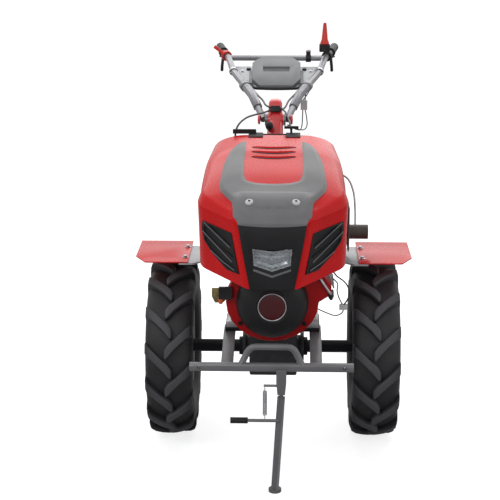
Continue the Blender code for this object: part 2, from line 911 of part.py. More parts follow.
def make_engine(root):
    front_y = ENGINE_REAR_Y - CRANKCASE_LENGTH
    crankcase = span_block(
        (-CRANKCASE_HALF_WIDTH, front_y, ENGINE_BASE_Z),
        (CRANKCASE_HALF_WIDTH, ENGINE_REAR_Y, ENGINE_BASE_Z + CRANKCASE_HEIGHT),
        CRANKCASE_BEVEL,
    )
    feet = [
        span_block(
            (-half, front_y + SINK, ENGINE_BASE_Z),
            (half, ENGINE_REAR_Y - SINK, ENGINE_BASE_Z + height),
        )
        for half, height in (
            (FOOT_HALF_WIDTH, FOOT_HEIGHT),
            (FOOT_GUSSET_HALF_WIDTH, FOOT_GUSSET_HEIGHT),
        )
    ]
    piece(fused(crankcase, *feet), "crankcase", "silver_casting", root)

    # the finned barrel and head lean out to the left side
    comb = [(CYLINDER_START, -FIN_ROOT / 2)]
    place = CYLINDER_START + FIN_PITCH
    while place + FIN_THICKNESS < CYLINDER_END:
        comb += [
            (place, -FIN_ROOT / 2),
            (place, -FIN_HEIGHT / 2),
            (place + FIN_THICKNESS, -FIN_HEIGHT / 2),
            (place + FIN_THICKNESS, -FIN_ROOT / 2),
        ]
        place += FIN_PITCH
    comb.append((CYLINDER_END, -FIN_ROOT / 2))
    comb += [(along, -across) for along, across in reversed(comb)]
    lean = Matrix.Rotation(-CYLINDER_LEAN, 4, "Y")
    barrel = sheet(comb, CYLINDER_DEPTH, (0, CYLINDER_Y, CRANK_Z), "Y", (), lean)
    clearance = span_block(
        (-CRANKCASE_HALF_WIDTH - FIT, front_y - OVERRUN, ENGINE_BASE_Z - OVERRUN),
        (
            CRANKCASE_HALF_WIDTH + FIT,
            ENGINE_REAR_Y + OVERRUN,
            ENGINE_BASE_Z + CRANKCASE_HEIGHT + FIT,
        ),
    )
    barrel = boolean(barrel, [clearance], "DIFFERENCE", "MANIFOLD")
    piece(barrel, "cylinder", "silver_casting", root)

    blower_y = BLOWER_FRONT_Y
    depth = front_y - FIT - blower_y
    ring = [
        (
            -BLOWER_RADIUS * BLOWER_WIDE_SHARE * math.sin(math.radians(angle)),
            CRANK_Z - BLOWER_RADIUS * math.cos(math.radians(angle)),
        )
        for angle in range(0, 181, 15)
    ]
    arm_top = CRANK_Z + BLOWER_RADIUS
    ring += [
        (BLOWER_ARM_X - BLOWER_ARM_SLOPE[0], arm_top),
        (BLOWER_ARM_X, arm_top - BLOWER_ARM_SLOPE[1]),
        (BLOWER_ARM_X, BLOWER_ARM_Z),
    ]
    ring += [
        (
            BLOWER_RADIUS * BLOWER_WIDE_SHARE * math.cos(math.radians(angle)),
            CRANK_Z - BLOWER_RADIUS * math.sin(math.radians(angle)),
        )
        for angle in range(0, 90, 15)
    ]
    shroud = sheet(ring, depth, (0, blower_y + depth / 2, 0), "Y")
    shroud = bevelled(shroud, BLOWER_BEVEL, 2, 60.0)
    piece(shroud, "blower_housing", "red_paint", root)

    # a plated bracket for the throttle stands out beside the housing
    near = -BLOWER_RADIUS * BLOWER_WIDE_SHARE - FIT
    far = near - BRACKET_PLATE_REACH
    low, high = BRACKET_PLATE_Z
    bracket = sheet(
        [
            (near, low + BRACKET_PLATE_BEVEL),
            (near, high - BRACKET_PLATE_BEVEL),
            (near - BRACKET_PLATE_BEVEL, high),
            (far, high),
            (far, low + 2 * BRACKET_PLATE_BEVEL),
            (far + BRACKET_PLATE_BEVEL, low),
            (near - BRACKET_PLATE_BEVEL, low),
        ],
        BRACKET_PLATE_THICKNESS,
        (0, BRACKET_PLATE_Y, 0),
        "Y",
    )
    piece(bracket, "throttle_bracket", "gold_zinc", root)

    # the starter cover: a smooth dome with a seat for the round badge
    depth = BLOWER_FRONT_Y - FIT - RECOIL_FRONT_Y
    cover = turned(
        [(RECOIL_RADIUS * out, depth * up) for out, up in RECOIL_SHARES],
        (0, BLOWER_FRONT_Y - FIT, CRANK_Z),
        "Y",
        30,
    )
    badge_gap = depth - BADGE_HEIGHT
    seat = rod(
        BADGE_RADIUS + FIT,
        BADGE_HEIGHT + OVERRUN,
        (0, BLOWER_FRONT_Y - FIT - badge_gap - (BADGE_HEIGHT + OVERRUN) / 2, CRANK_Z),
        "Y",
        32,
    )
    piece(cut(cover, seat), "recoil_cover", "black_plastic", root)
    badge = rod(
        BADGE_RADIUS,
        BADGE_HEIGHT,
        (0, BLOWER_FRONT_Y - FIT - badge_gap - FIT - BADGE_HEIGHT / 2, CRANK_Z),
        "Y",
        32,
    )
    piece(badge, "recoil_badge", "red_plastic", root)

    tank_low = ENGINE_BASE_Z + CRANKCASE_HEIGHT + FIT
    tank_y = front_y + FIT + TANK_SIZE[1] / 2
    tank = block(
        TANK_SIZE, (TANK_X, tank_y, tank_low + TANK_SIZE[2] / 2), None, TANK_BEVEL, 2
    )
    neck = rod(
        TANK_NECK_RADIUS,
        2 * TANK_NECK,
        (TANK_X, tank_y, tank_low + TANK_SIZE[2]),
    )
    piece(fused(tank, neck), "fuel_tank", "black_paint", root)

    cleaner = block(CLEANER_SIZE, CLEANER_CENTRE, None, CLEANER_BEVEL, 2)
    piece(cleaner, "air_cleaner", "black_plastic", root)
    cleaner_low = CLEANER_CENTRE[2] - CLEANER_SIZE[2] / 2
    block_top = ENGINE_BASE_Z + CRANKCASE_HEIGHT
    intake = rod(
        CARB_RADIUS,
        cleaner_low - block_top - 2 * FIT,
        (CARB_X, CLEANER_CENTRE[1], (cleaner_low + block_top) / 2),
        "Z",
        20,
    )
    fins = block(
        (
            CYLINDER_END - CYLINDER_START + 2 * FIT,
            CYLINDER_DEPTH + 2 * FIT,
            FIN_HEIGHT + 2 * FIT,
        ),
        (0, CYLINDER_Y, CRANK_Z),
        lean @ Matrix.Translation(((CYLINDER_END + CYLINDER_START) / 2, 0, 0)),
    )
    piece(cut(intake, fins), "carburettor", "silver_casting", root)

    can = block(MUFFLER_SIZE, MUFFLER_CENTRE, None, MUFFLER_BEVEL, 1)
    can_side = MUFFLER_CENTRE[0] + MUFFLER_SIZE[0] / 2
    tail = rod(
        TAIL_RADIUS,
        TAIL_END_X - can_side + SINK,
        ((TAIL_END_X + can_side - SINK) / 2, TAIL_Y, TAIL_Z),
        "X",
        24,
    )
    bore = rod(
        TAIL_RADIUS * 0.72,
        2 * TAIL_RADIUS,
        (TAIL_END_X, TAIL_Y, TAIL_Z),
        "X",
        20,
    )
    can_front = MUFFLER_CENTRE[1] - MUFFLER_SIZE[1] / 2
    port_y = CYLINDER_Y + CYLINDER_DEPTH / 2 + FIT
    run = (can_front - port_y) / 3
    pipe = tube(
        bent(
            [
                (EXHAUST_X, port_y, EXHAUST_Z),
                (EXHAUST_X, port_y + run, EXHAUST_Z),
                (EXHAUST_X, can_front - run, EXHAUST_TOP_Z),
                (EXHAUST_X, can_front + MUFFLER_BEVEL, EXHAUST_TOP_Z),
            ],
            2 * EXHAUST_RADIUS,
            3,
        ),
        EXHAUST_RADIUS,
    )
    piece(cut(fused(can, tail, pipe), bore), "muffler", "exhaust", root)


# Frame, bumper and mudguards


def make_frame(root):
    top = ENGINE_BASE_Z - FIT
    rear = CASE_FRONT_Y - FIT
    middle_y = (FRAME_FRONT_Y + rear) / 2
    tray = sheet(
        [
            (-FRAME_HALF_WIDTH, FRAME_FRONT_Y),
            (FRAME_HALF_WIDTH, FRAME_FRONT_Y),
            (FRAME_HALF_WIDTH, middle_y),
            (CASE_HALF_WIDTH, rear),
            (-CASE_HALF_WIDTH, rear),
            (-FRAME_HALF_WIDTH, middle_y),
        ],
        FRAME_THICKNESS,
        (0, 0, top - FRAME_THICKNESS / 2),
        "Z",
    )
    piece(tray, "engine_frame", "black_paint", root)

    bar = rod(BUMPER_RADIUS, BUMPER_LENGTH, (0, BUMPER_Y, BUMPER_Z), "X", 20)
    strap_z = top - FRAME_THICKNESS - FIT - STRAP_THICKNESS / 2
    straps = []
    for _, sign in SIDES:
        outline = strip(
            [
                (FRAME_FRONT_Y + STRAP_LAP, strap_z),
                (FRAME_FRONT_Y, strap_z),
                (BUMPER_Y, BUMPER_Z),
            ],
            STRAP_THICKNESS,
        )
        straps.append(sheet(outline, STRAP_WIDTH, (sign * STRAP_X, 0, 0), "X"))
    hoop = tube(
        bent(
            [
                (-HOOP_HALF_WIDTH, BUMPER_Y, BUMPER_Z),
                (-HOOP_TOP_HALF - HOOP_RADIUS, BUMPER_Y, HOOP_TOP_Z),
                (HOOP_TOP_HALF + HOOP_RADIUS, BUMPER_Y, HOOP_TOP_Z),
                (HOOP_HALF_WIDTH, BUMPER_Y, BUMPER_Z),
            ],
            3 * HOOP_RADIUS,
            3,
        ),
        HOOP_RADIUS,
    )
    bar = fused(bar, hoop, *straps)
    holes = [
        rod(
            BUMPER_HOLE_RADIUS,
            2 * BUMPER_RADIUS + 2 * OVERRUN,
            (sign * (BUMPER_LENGTH / 2 - BUMPER_HOLE_SETBACK), BUMPER_Y, BUMPER_Z),
            "Y",
            12,
        )
        for _, sign in SIDES
    ]
    piece(cut(bar, *holes), "front_bumper", "grey_paint", root)



def make_mudguards(root):
    for side, sign in SIDES:
        outline = [
            (sign * GUARD_INNER_X, GUARD_REAR_Y),
            (sign * GUARD_OUTER_X, GUARD_REAR_Y),
            (sign * GUARD_OUTER_X, GUARD_FRONT_Y + GUARD_CHAMFER_Y),
            (sign * (GUARD_OUTER_X - GUARD_CHAMFER_X), GUARD_FRONT_Y),
            (sign * GUARD_INNER_X, GUARD_FRONT_Y),
        ]
        guard = sheet(
            outline, GUARD_THICKNESS, (0, 0, GUARD_Z + GUARD_THICKNESS / 2), "Z"
        )
        piece(guard, f"mudguard_{side}", "red_paint", root)

    half = CARRIER_THICKNESS / 2
    seat = CASE_TOP_Z + FIT + half
    wing = GUARD_Z - FIT - half
    bend = CASE_HALF_WIDTH + HORN_FLANGE
    line = [
        (-GUSSET_OUTER_X, wing),
        (-GUSSET_INNER_X, wing),
        (-bend, seat),
        (bend, seat),
        (GUSSET_INNER_X, wing),
        (GUSSET_OUTER_X, wing),
    ]
    middle = CARRIER_FRONT_Y + CARRIER_DEPTH / 2
    carrier = sheet(
        strip(line, CARRIER_THICKNESS), CARRIER_DEPTH, (0, middle, 0), "Y"
    )
    gussets = []
    for _, sign in SIDES:
        gussets.append(
            sheet(
                [
                    (sign * GUSSET_INNER_X, GUSSET_REAR_Y - GUSSET_CHAMFER),
                    (sign * GUSSET_INNER_X, GUSSET_FRONT_Y + GUSSET_CHAMFER),
                    (sign * (GUSSET_INNER_X + GUSSET_CHAMFER), GUSSET_FRONT_Y),
                    (sign * GUSSET_OUTER_X, GUSSET_FRONT_Y),
                    (sign * GUSSET_OUTER_X, GUSSET_REAR_Y),
                    (sign * (GUSSET_INNER_X + GUSSET_CHAMFER), GUSSET_REAR_Y),
                ],
                CARRIER_THICKNESS,
                (0, 0, wing),
                "Z",
            )
        )
    piece(fused(carrier, *gussets), "mudguard_carrier", "light_grey_paint", root)


# Stand


def make_stand(root):
    half = BRACKET_WIDTH / 2
    outline = [
        (STAND_X - half, BRACKET_TOP_Z),
        (STAND_X - half, (BRACKET_TOP_Z + BRACKET_FOOT_Z) / 2),
        (STAND_X - half * 0.75, BRACKET_FOOT_Z),
        (STAND_X + half * 0.75, BRACKET_FOOT_Z),
        (STAND_X + half, (BRACKET_TOP_Z + BRACKET_FOOT_Z) / 2),
        (STAND_X + half, BRACKET_TOP_Z),
    ]
    depth = BRACKET_REAR_Y - BRACKET_FRONT_Y
    bracket = sheet(
        outline, depth, (0, (BRACKET_REAR_Y + BRACKET_FRONT_Y) / 2, 0), "Y"
    )
    arm_start = STAND_X - half + SINK
    arm = rod_between(
        SPRING_ARM_RADIUS,
        (arm_start, SPRING_Y, SPRING_TOP_Z),
        (SPRING_X - SPRING_ARM_RADIUS, SPRING_Y, SPRING_TOP_Z),
        12,
    )
    slot_half = TONGUE_THICKNESS / 2 + TONGUE_GAP
    tongue_front = STAND_PIVOT_Y - TONGUE_RADIUS
    slot = span_block(
        (
            STAND_X - slot_half,
            tongue_front - TONGUE_GAP,
            BRACKET_FOOT_Z - OVERRUN,
        ),
        (
            STAND_X + slot_half,
            BRACKET_REAR_Y + OVERRUN,
            STAND_PIVOT_Z + TONGUE_RADIUS + 2 * RUN,
        ),
    )
    saddle = rod(BUMPER_RADIUS + FIT, BUMPER_LENGTH, (0, BUMPER_Y, BUMPER_Z), "X", 20)
    above = span_block(
        (STAND_X - BUMPER_RADIUS * 2, BUMPER_Y - BUMPER_RADIUS - FIT, BUMPER_Z),
        (STAND_X + BUMPER_RADIUS * 2, BRACKET_REAR_Y + OVERRUN, BRACKET_TOP_Z + BUMPER_Z),
    )
    bracket = cut(fused(bracket, arm), slot, saddle, above)
    pin = rod(
        STAND_PIN_RADIUS,
        BRACKET_WIDTH - STAND_PIN_RADIUS,
        (STAND_X, STAND_PIVOT_Y, STAND_PIVOT_Z),
        "X",
        16,
    )
    piece(fused(bracket, pin), "stand_bracket", "grey_paint", root)

    fold = body("stand", (STAND_X, STAND_PIVOT_Y, STAND_PIVOT_Z))
    fold.parent = root
    leg_top = STAND_PIVOT_Z - LEG_TOP_DROP
    eye = [
        (
            STAND_PIVOT_Y + TONGUE_RADIUS * math.cos(math.radians(angle)),
            STAND_PIVOT_Z + TONGUE_RADIUS * math.sin(math.radians(angle)),
        )
        for angle in range(0, 181, 20)
    ]
    tongue = sheet(
        eye
        + [
            (STAND_PIVOT_Y - TONGUE_RADIUS, leg_top - SINK),
            (STAND_PIVOT_Y + TONGUE_RADIUS, leg_top - SINK),
        ],
        TONGUE_THICKNESS,
        (STAND_X, 0, 0),
        "X",
        [circle(STAND_PIN_RADIUS + RUN, 16, (STAND_PIVOT_Y, STAND_PIVOT_Z))],
    )
    foot_at = (STAND_X - LEG_LEAN, STAND_PIVOT_Y - LEG_LEAN / 3, 0)
    leg = rod_between(
        LEG_RADIUS, (STAND_X, STAND_PIVOT_Y, leg_top), (*foot_at[:2], FOOT_THICKNESS), 16
    )
    foot = rod(
        FOOT_RADIUS,
        FOOT_THICKNESS + SINK,
        (*foot_at[:2], (FOOT_THICKNESS + SINK) / 2),
        "Z",
        24,
    )
    pedal_start = STAND_X - LEG_LEAN / 3
    pedal = rod_between(
        PEDAL_ROD_RADIUS,
        (pedal_start, SPRING_Y, PEDAL_Z),
        (PEDAL_GRIP_END_X + PEDAL_GRIP_RADIUS, SPRING_Y, PEDAL_Z),
        12,
    )
    piece(fused(leg, tongue, foot, pedal), "stand_leg", "grey_paint", fold)

    length = PEDAL_ROD_END_X - PEDAL_GRIP_END_X
    grip = turned(
        [
            (0, length),
            (PEDAL_GRIP_RADIUS, length),
            (PEDAL_GRIP_RADIUS, 0),
            (PEDAL_ROD_RADIUS + RUN, 0),
            (PEDAL_ROD_RADIUS + RUN, length - PEDAL_GRIP_RADIUS + RUN),
            (0, length - PEDAL_GRIP_RADIUS + RUN),
        ],
        (0, 0, 0),
        "X",
        16,
    )
    grip.matrix_world = Matrix.Translation(
        (PEDAL_ROD_END_X, SPRING_Y, PEDAL_Z)
    ) @ Matrix.Scale(-1, 4, (1, 0, 0))
    piece(baked(grip), "stand_grip", "rubber", fold)

    low = PEDAL_Z + PEDAL_ROD_RADIUS + FIT
    high = SPRING_TOP_Z - SPRING_ARM_RADIUS - FIT
    hook = SPRING_RADIUS
    spring = turned(
        [
            (0, high),
            (SPRING_RADIUS / 4, high),
            (SPRING_RADIUS / 4, high - hook),
            (SPRING_RADIUS, high - hook),
            (SPRING_RADIUS, low + hook),
            (SPRING_RADIUS / 4, low + hook),
            (SPRING_RADIUS / 4, low),
            (0, low),
        ],
        (SPRING_X, SPRING_Y, 0),
        "Z",
        12,
    )
    piece(spring, "stand_spring", "zinc", root)


# Bonnet

# Each line runs from the rear edge forward to the middle of the nose. Columns: share of the
# length from the rear, share of the half width, share of the height.
LOWER_SHARES = (
    (0.00, 0.905, 0.60),
    (0.26, 0.955, 0.52),
    (0.40, 0.990, 0.20),
    (0.58, 1.000, 0.13),
    (0.76, 0.930, 0.08),
    (1.00, 0.330, 0.00),
    (1.00, 0.000, 0.00),
)
SHOULDER_SHARES = (
    (0.00, 0.895, 0.86),
    (0.26, 0.965, 0.80),
    (0.40, 0.990, 0.745),
    (0.58, 0.998, 0.69),
    (0.74, 0.985, 0.615),
    (0.97, 0.474, 0.555),
    (0.97, 0.000, 0.555),
)
UPPER_SHARES = (
    (0.00, 0.760, 0.985),
    (0.26, 0.810, 0.935),
    (0.40, 0.835, 0.880),
    (0.58, 0.830, 0.805),
    (0.73, 0.800, 0.715),
    (0.915, 0.430, 0.630),
    (0.915, 0.000, 0.640),
)
# A button's section: share of its radius, share of its height
BUTTON_SHARES = ((0.0, 1.0), (0.55, 0.95), (0.85, 0.70), (1.0, 0.30), (1.0, 0.0), (0.0, 0.0))
CROWN_RISE_SHARE = 0.045
FLAT_SHARE = 0.55
SHOULDER_BULGE_SHARE = 0.16
CROWN_BULGE_SHARE = 0.05
MASK_LOW = LOWER_SHARES[-2]
MASK_HIGH = SHOULDER_SHARES[-2]
# Mask and headlamp, half outlines: share of the mask's height, share of its local half width
MASK_SHARES = ((0.00, 0.90), (0.50, 0.96), (0.985, 0.98))
LAMP_SHARES = ((0.585, 0.00), (0.62, 0.65), (0.36, 0.61), (0.282, 0.00))
# Grille outline and its three slots: share across from the nose, share up
GRILLE_SHARES = (
    (0.95, 0.79),
    (0.18, 0.80),
    (0.14, 0.19),
    (0.44, 0.17),
    (0.76, 0.32),
    (0.95, 0.48),
    (0.985, 0.65),
)
GRILLE_SLOT_SHARES = (
    ((0.84, 0.765), (0.235, 0.770), (0.225, 0.590), (0.82, 0.735)),
    ((0.915, 0.715), (0.222, 0.545), (0.212, 0.410), (0.925, 0.590)),
    (
        (0.935, 0.550),
        (0.208, 0.365),
        (0.195, 0.225),
        (0.430, 0.210),
        (0.730, 0.345),
        (0.910, 0.485),
    ),
)


def bonnet_point(shares):
    along, out, up = shares
    return Vector(
        (
            BONNET_HALF_WIDTH * out,
            BONNET_REAR_Y + (BONNET_NOSE_Y - BONNET_REAR_Y) * along,
            BONNET_BASE_Z + (BONNET_PEAK_Z - BONNET_BASE_Z) * up,
        )
    )


def hinge_place():
    """The hinge's axis, behind the rear edge and below the flat top's line."""
    rear, next_row = bonnet_point(UPPER_SHARES[0]), bonnet_point(UPPER_SHARES[1])
    rise = (BONNET_PEAK_Z - BONNET_BASE_Z) * CROWN_RISE_SHARE
    slope = (rear.z - next_row.z) / (rear.y - next_row.y)
    y = BONNET_REAR_Y + HINGE_SETBACK
    top = rear.z + rise + slope * HINGE_SETBACK
    return y, top + FIT + HINGE_LEAF - KNUCKLE_RADIUS, slope


def face_frame(low_in, low_out, high_in, high_out):
    """A frame on a face of the bonnet: X across it, Y up it, Z out of it."""
    middle = (low_in + low_out + high_in + high_out) / 4
    across = ((low_out + high_out) - (low_in + high_in)).normalized()
    up = ((high_in + high_out) - (low_in + low_out)).normalized()
    out = across.cross(up).normalized()
    up = out.cross(across)
    frame = Matrix((across, up, out)).transposed().to_4x4()
    frame.translation = middle
    return frame


def shrunk(outline, by):
    """An outline with each corner moved towards its middle."""
    middle = sum((Vector(p) for p in outline), Vector((0, 0))) / len(outline)
    return [
        tuple(Vector(p) + (middle - Vector(p)).normalized() * by) for p in outline
    ]


def resampled(points, parts, straight_end):
    """Cut each span of a line into parts on a smooth curve; the last span may stay straight."""
    made = []
    last = len(points) - 2
    for i, (here, after) in enumerate(zip(points, points[1:])):
        for part in range(parts):
            if i == last and straight_end:
                made.append(here.lerp(after, part / parts))
            else:
                made.append(curve_point(points, i, part / parts))
    return made + [points[-1]]


def between(low, high, bulge_share):
    """The line halfway between two lines, pushed out square to the step between them."""
    made = []
    for a, b in zip(low, high):
        step = b - a
        made.append((a + b) / 2 + Vector((step.z, 0, -step.x)) * bulge_share)
    return made


def bonnet_lines():
    """The bonnet's left half as lines from the rear to the middle of the nose."""
    lower, shoulder, upper = (
        resampled([bonnet_point(row) for row in rows[:-1]], BONNET_PARTS, straight)
        for rows, straight in (
            (LOWER_SHARES, True),
            (SHOULDER_SHARES, True),
            (UPPER_SHARES, False),
        )
    )
    rise = (BONNET_PEAK_Z - BONNET_BASE_Z) * CROWN_RISE_SHARE
    flat = [Vector((p.x * FLAT_SHARE, p.y, p.z + rise)) for p in upper]
    lines = [
        lower,
        shoulder,
        between(shoulder, upper, SHOULDER_BULGE_SHARE),
        upper,
        between(upper, flat, CROWN_BULGE_SHARE),
        flat,
    ]
    return lines, rise


def make_bonnet(root):
    hinge_y, hinge_z, slope = hinge_place()
    lid = body("bonnet", (0, hinge_y, hinge_z))
    lid.parent = root
    shape = bmesh.new()
    lines, rise = bonnet_lines()
    middle_line = [Vector((0, p.y, p.z)) for p in lines[-1]]
    for line in lines:
        line.append(Vector((0, line[-1].y, line[-1].z)))
    lines.append(middle_line)
    made = [[shape.verts.new(point) for point in line] for line in lines]
    for low, high in zip(made, made[1:]):
        for i in range(len(low) - 1):
            if i + 1 < len(high):
                shape.faces.new((low[i], low[i + 1], high[i + 1], high[i]))
            else:
                shape.faces.new((low[i], low[i + 1], high[i]))
    mesh = bpy.data.meshes.new("bonnet")
    shape.to_mesh(mesh)
    shape.free()
    half = link(mesh)
    mirror = half.modifiers.new("Mirror", "MIRROR")
    mirror.merge_threshold = WELD
    whole = baked(half)
    wall = whole.modifiers.new("Solidify", "SOLIDIFY")
    wall.thickness = BONNET_WALL
    wall.offset = -1
    wall.use_even_offset = True
    shell = baked(whole)

    # the black mask lies on the flat middle of the nose
    low, high = bonnet_point(MASK_LOW), bonnet_point(MASK_HIGH)
    mirror_low, mirror_high = Vector((-low.x, *low.yz)), Vector((-high.x, *high.yz))
    frame = face_frame(mirror_low, low, mirror_high, high)
    tall = (high - low).yz.length / 2
    half_low, half_high = low.x, high.x

    def mask_point(up, out):
        half_here = half_low + (half_high - half_low) * up
        return (half_here * out, tall * (2 * up - 1))

    lamp_half = [mask_point(up, out) for up, out in LAMP_SHARES]
    lamp_outline = lamp_half + [(-x, y) for x, y in reversed(lamp_half[1:-1])]
    step = MASK_THICKNESS / 2 + FIT
    mask_half = [mask_point(up, out) for up, out in MASK_SHARES]
    mask_outline = mask_half + [(-x, y) for x, y in reversed(mask_half)]
    mask = sheet(
        mask_outline,
        MASK_THICKNESS,
        (0, 0, 0),
        "Z",
        (),
        frame @ Matrix.Translation((0, 0, step)),
    )
    lamp_place = frame @ Matrix.Translation((0, 0, -LAMP_DEPTH / 4))

    def grown(outline, by):
        middle = Vector((0, sum(y for _, y in outline) / len(outline)))
        return [
            tuple(Vector(p) + (Vector(p) - middle).normalized() * by) for p in outline
        ]

    def lamp_hole():
        return sheet(
            grown(lamp_outline, 2 * FIT), 2 * LAMP_DEPTH, (0, 0, 0), "Z", (), lamp_place
        )

    piece(cut(mask, lamp_hole()), "front_mask", "black_plastic", lid)
    lamp = sheet(lamp_outline, LAMP_DEPTH, (0, 0, 0), "Z", (), lamp_place)
    lamp = bevelled(lamp, MASK_THICKNESS / 2, 1, 60.0)
    piece(lamp, "headlamp", "clear_lens", lid)

    cutters = [lamp_hole()]
    # a louvred grille in each side of the nose
    for side, sign in SIDES:
        corner = [
            bonnet_point(row)
            for row in (
                LOWER_SHARES[-2],
                LOWER_SHARES[-3],
                SHOULDER_SHARES[-2],
                SHOULDER_SHARES[-3],
            )
        ]
        corner = [Vector((sign * p.x, p.y, p.z)) for p in corner]
        if sign < 0:
            corner = [corner[1], corner[0], corner[3], corner[2]]
        low_in, low_out, high_in, high_out = corner
        frame = face_frame(low_in, low_out, high_in, high_out)
        back = frame.inverted()
        local = [(back @ p).xy for p in (low_in, low_out, high_in, high_out)]

        def grille_point(across, up, local=local, sign=sign):
            share = across if sign > 0 else 1 - across
            bottom = local[0].lerp(local[1], share)
            top = local[2].lerp(local[3], share)
            return tuple(bottom.lerp(top, up))

        outline = [grille_point(*row) for row in GRILLE_SHARES]
        cutters.append(
            sheet(outline, 4 * GRILLE_THICKNESS, (0, 0, 0), "Z", (), frame)
        )
        base = sheet(
            shrunk(outline, 2 * FIT),
            GRILLE_THICKNESS,
            (0, 0, 0),
            "Z",
            (),
            frame @ Matrix.Translation((0, 0, -GRILLE_THICKNESS / 4)),
        )
        lift = GRILLE_THICKNESS / 4 + GRILLE_FLOOR
        slots = [
            sheet(
                [grille_point(*row) for row in rows],
                GRILLE_THICKNESS,
                (0, 0, 0),
                "Z",
                (),
                frame @ Matrix.Translation((0, 0, lift - GRILLE_THICKNESS / 4)),
            )
            for rows in GRILLE_SLOT_SHARES
        ]
        piece(cut(base, *slots), f"grille_{side}", "black_plastic", lid)

    # three louvre slots across the top
    for number in range(LOUVRES):
        y = BONNET_REAR_Y - LOUVRE_SETBACK - LOUVRE_PITCH * number
        cutters.append(
            span_block(
                (-LOUVRE_LENGTH / 2, y - LOUVRE_WIDTH / 2, hinge_z - 4 * LOUVRE_PITCH),
                (LOUVRE_LENGTH / 2, y + LOUVRE_WIDTH / 2, BONNET_PEAK_Z + LOUVRE_PITCH),
            )
        )
    shell = cut(shell, *cutters)
    # a white button stands on each side of the nose's top
    surface = BVHTree.FromObject(shell, bpy.context.evaluated_depsgraph_get())
    for side, sign in SIDES:
        above = Vector((sign * BUTTON_X, BUTTON_Y, 2 * BONNET_PEAK_Z))
        spot, out, _, _ = surface.ray_cast(above, Vector((0, 0, -1)))
        turn = out.to_track_quat("Z", "Y").to_matrix().to_4x4()
        button = turned(
            [(BUTTON_RADIUS * share, BUTTON_HEIGHT * up) for share, up in BUTTON_SHARES],
            tuple(spot + out * 2 * FIT),
            "Z",
            14,
            turn,
        )
        piece(button, f"bonnet_button_{side}", "white_plastic", lid)
    piece(shell, "bonnet_shell", "red_paint", lid)

    # each black hinge lies on the flat top and curls round the barrel behind it
    top = hinge_z + KNUCKLE_RADIUS
    for side, sign in SIDES:
        leaf = sheet(
            [
                (hinge_y, top),
                (hinge_y, top - HINGE_LEAF),
                (hinge_y - HINGE_REACH, top - HINGE_LEAF - slope * HINGE_REACH),
                (hinge_y - HINGE_REACH, top - slope * HINGE_REACH),
            ],
            HINGE_LENGTH,
            (sign * HINGE_X, 0, 0),
            "X",
        )
        knuckle_x = HINGE_X - HINGE_LENGTH / 2 + KNUCKLE_LENGTH / 2
        knuckle = sheet(
            circle(KNUCKLE_RADIUS, 20),
            KNUCKLE_LENGTH,
            (sign * knuckle_x, hinge_y, hinge_z),
            "X",
            [circle(HINGE_RADIUS + RUN, 20)],
        )
        piece(fused(leaf, knuckle), f"bonnet_hinge_{side}", "black_paint", lid)

    # two posts on the case carry the hinge barrel behind the rear edge
    posts = [
        span_block(
            (
                sign * (HINGE_X + HINGE_LENGTH / 2),
                hinge_y - POST_THICKNESS / 2,
                CASE_TOP_Z + FIT,
            ),
            (
                sign * (HINGE_X + HINGE_LENGTH / 2 - POST_WIDTH + RUN),
                hinge_y + POST_THICKNESS / 2,
                hinge_z + POST_THICKNESS / 2,
            ),
        )
        for _, sign in SIDES
    ]
    barrel = rod(
        HINGE_RADIUS,
        2 * HINGE_X + HINGE_LENGTH,
        (0, hinge_y, hinge_z),
        "X",
        20,
    )
    foot_z = CASE_TOP_Z + POST_WIDTH
    brace = span_block(
        (-HINGE_X - SINK, hinge_y - POST_THICKNESS / 3, foot_z + POST_WIDTH),
        (HINGE_X + SINK, hinge_y + POST_THICKNESS / 3, foot_z + 2 * POST_WIDTH),
    )
    piece(fused(barrel, *posts, brace), "bonnet_support", "black_paint", root)


# Steering column and handlebar

# The handlebar's line on one side, from the pivot to the grip end. Columns: X, Y, Z.
BAR_LINE = (
    (COLUMN_HEAD_WIDTH / 2 + BAR_RADIUS + FIT, COLUMN_HEAD_Y, COLUMN_HEAD_Z),
    (0.085, 0.430, 1.098),
    (0.158, 0.620, 1.152),
    (0.181, CROSS_Y, CROSS_Z),
    (0.200, 0.805, 1.197),
    (0.222, BAR_END_Y, 1.205),
)
# The console in plan, half outline: half width, share of the length from the front
CONSOLE_PLAN_SHARES = ((0.061, 0.0), (0.089, 0.24), (0.089, 0.80), (0.059, 1.0))
# A control knob's section: share of its radius, share of its height
EGG_SHARES = (
    (0.0, 1.00),
    (0.45, 0.96),
    (0.82, 0.80),
    (1.0, 0.52),
    (0.86, 0.22),
    (0.52, 0.0),
    (0.0, 0.0),
)


def column_rings(rings):
    """A post of four sides through rings of (width, depth), Y and Z."""
    shape = bmesh.new()
    made = [
        [
            shape.verts.new((a * wide / 2, y + b * deep / 2, z))
            for a, b in ((-1, -1), (1, -1), (1, 1), (-1, 1))
        ]
        for (wide, deep), y, z in rings
    ]
    for low, high in zip(made, made[1:]):
        for i in range(4):
            j = (i + 1) % 4
            shape.faces.new((low[i], low[j], high[j], high[i]))
    shape.faces.new(made[0])
    shape.faces.new(made[-1])
    bmesh.ops.recalc_face_normals(shape, faces=shape.faces)
    mesh = bpy.data.meshes.new("post")
    shape.to_mesh(mesh)
    shape.free()
    return link(mesh)


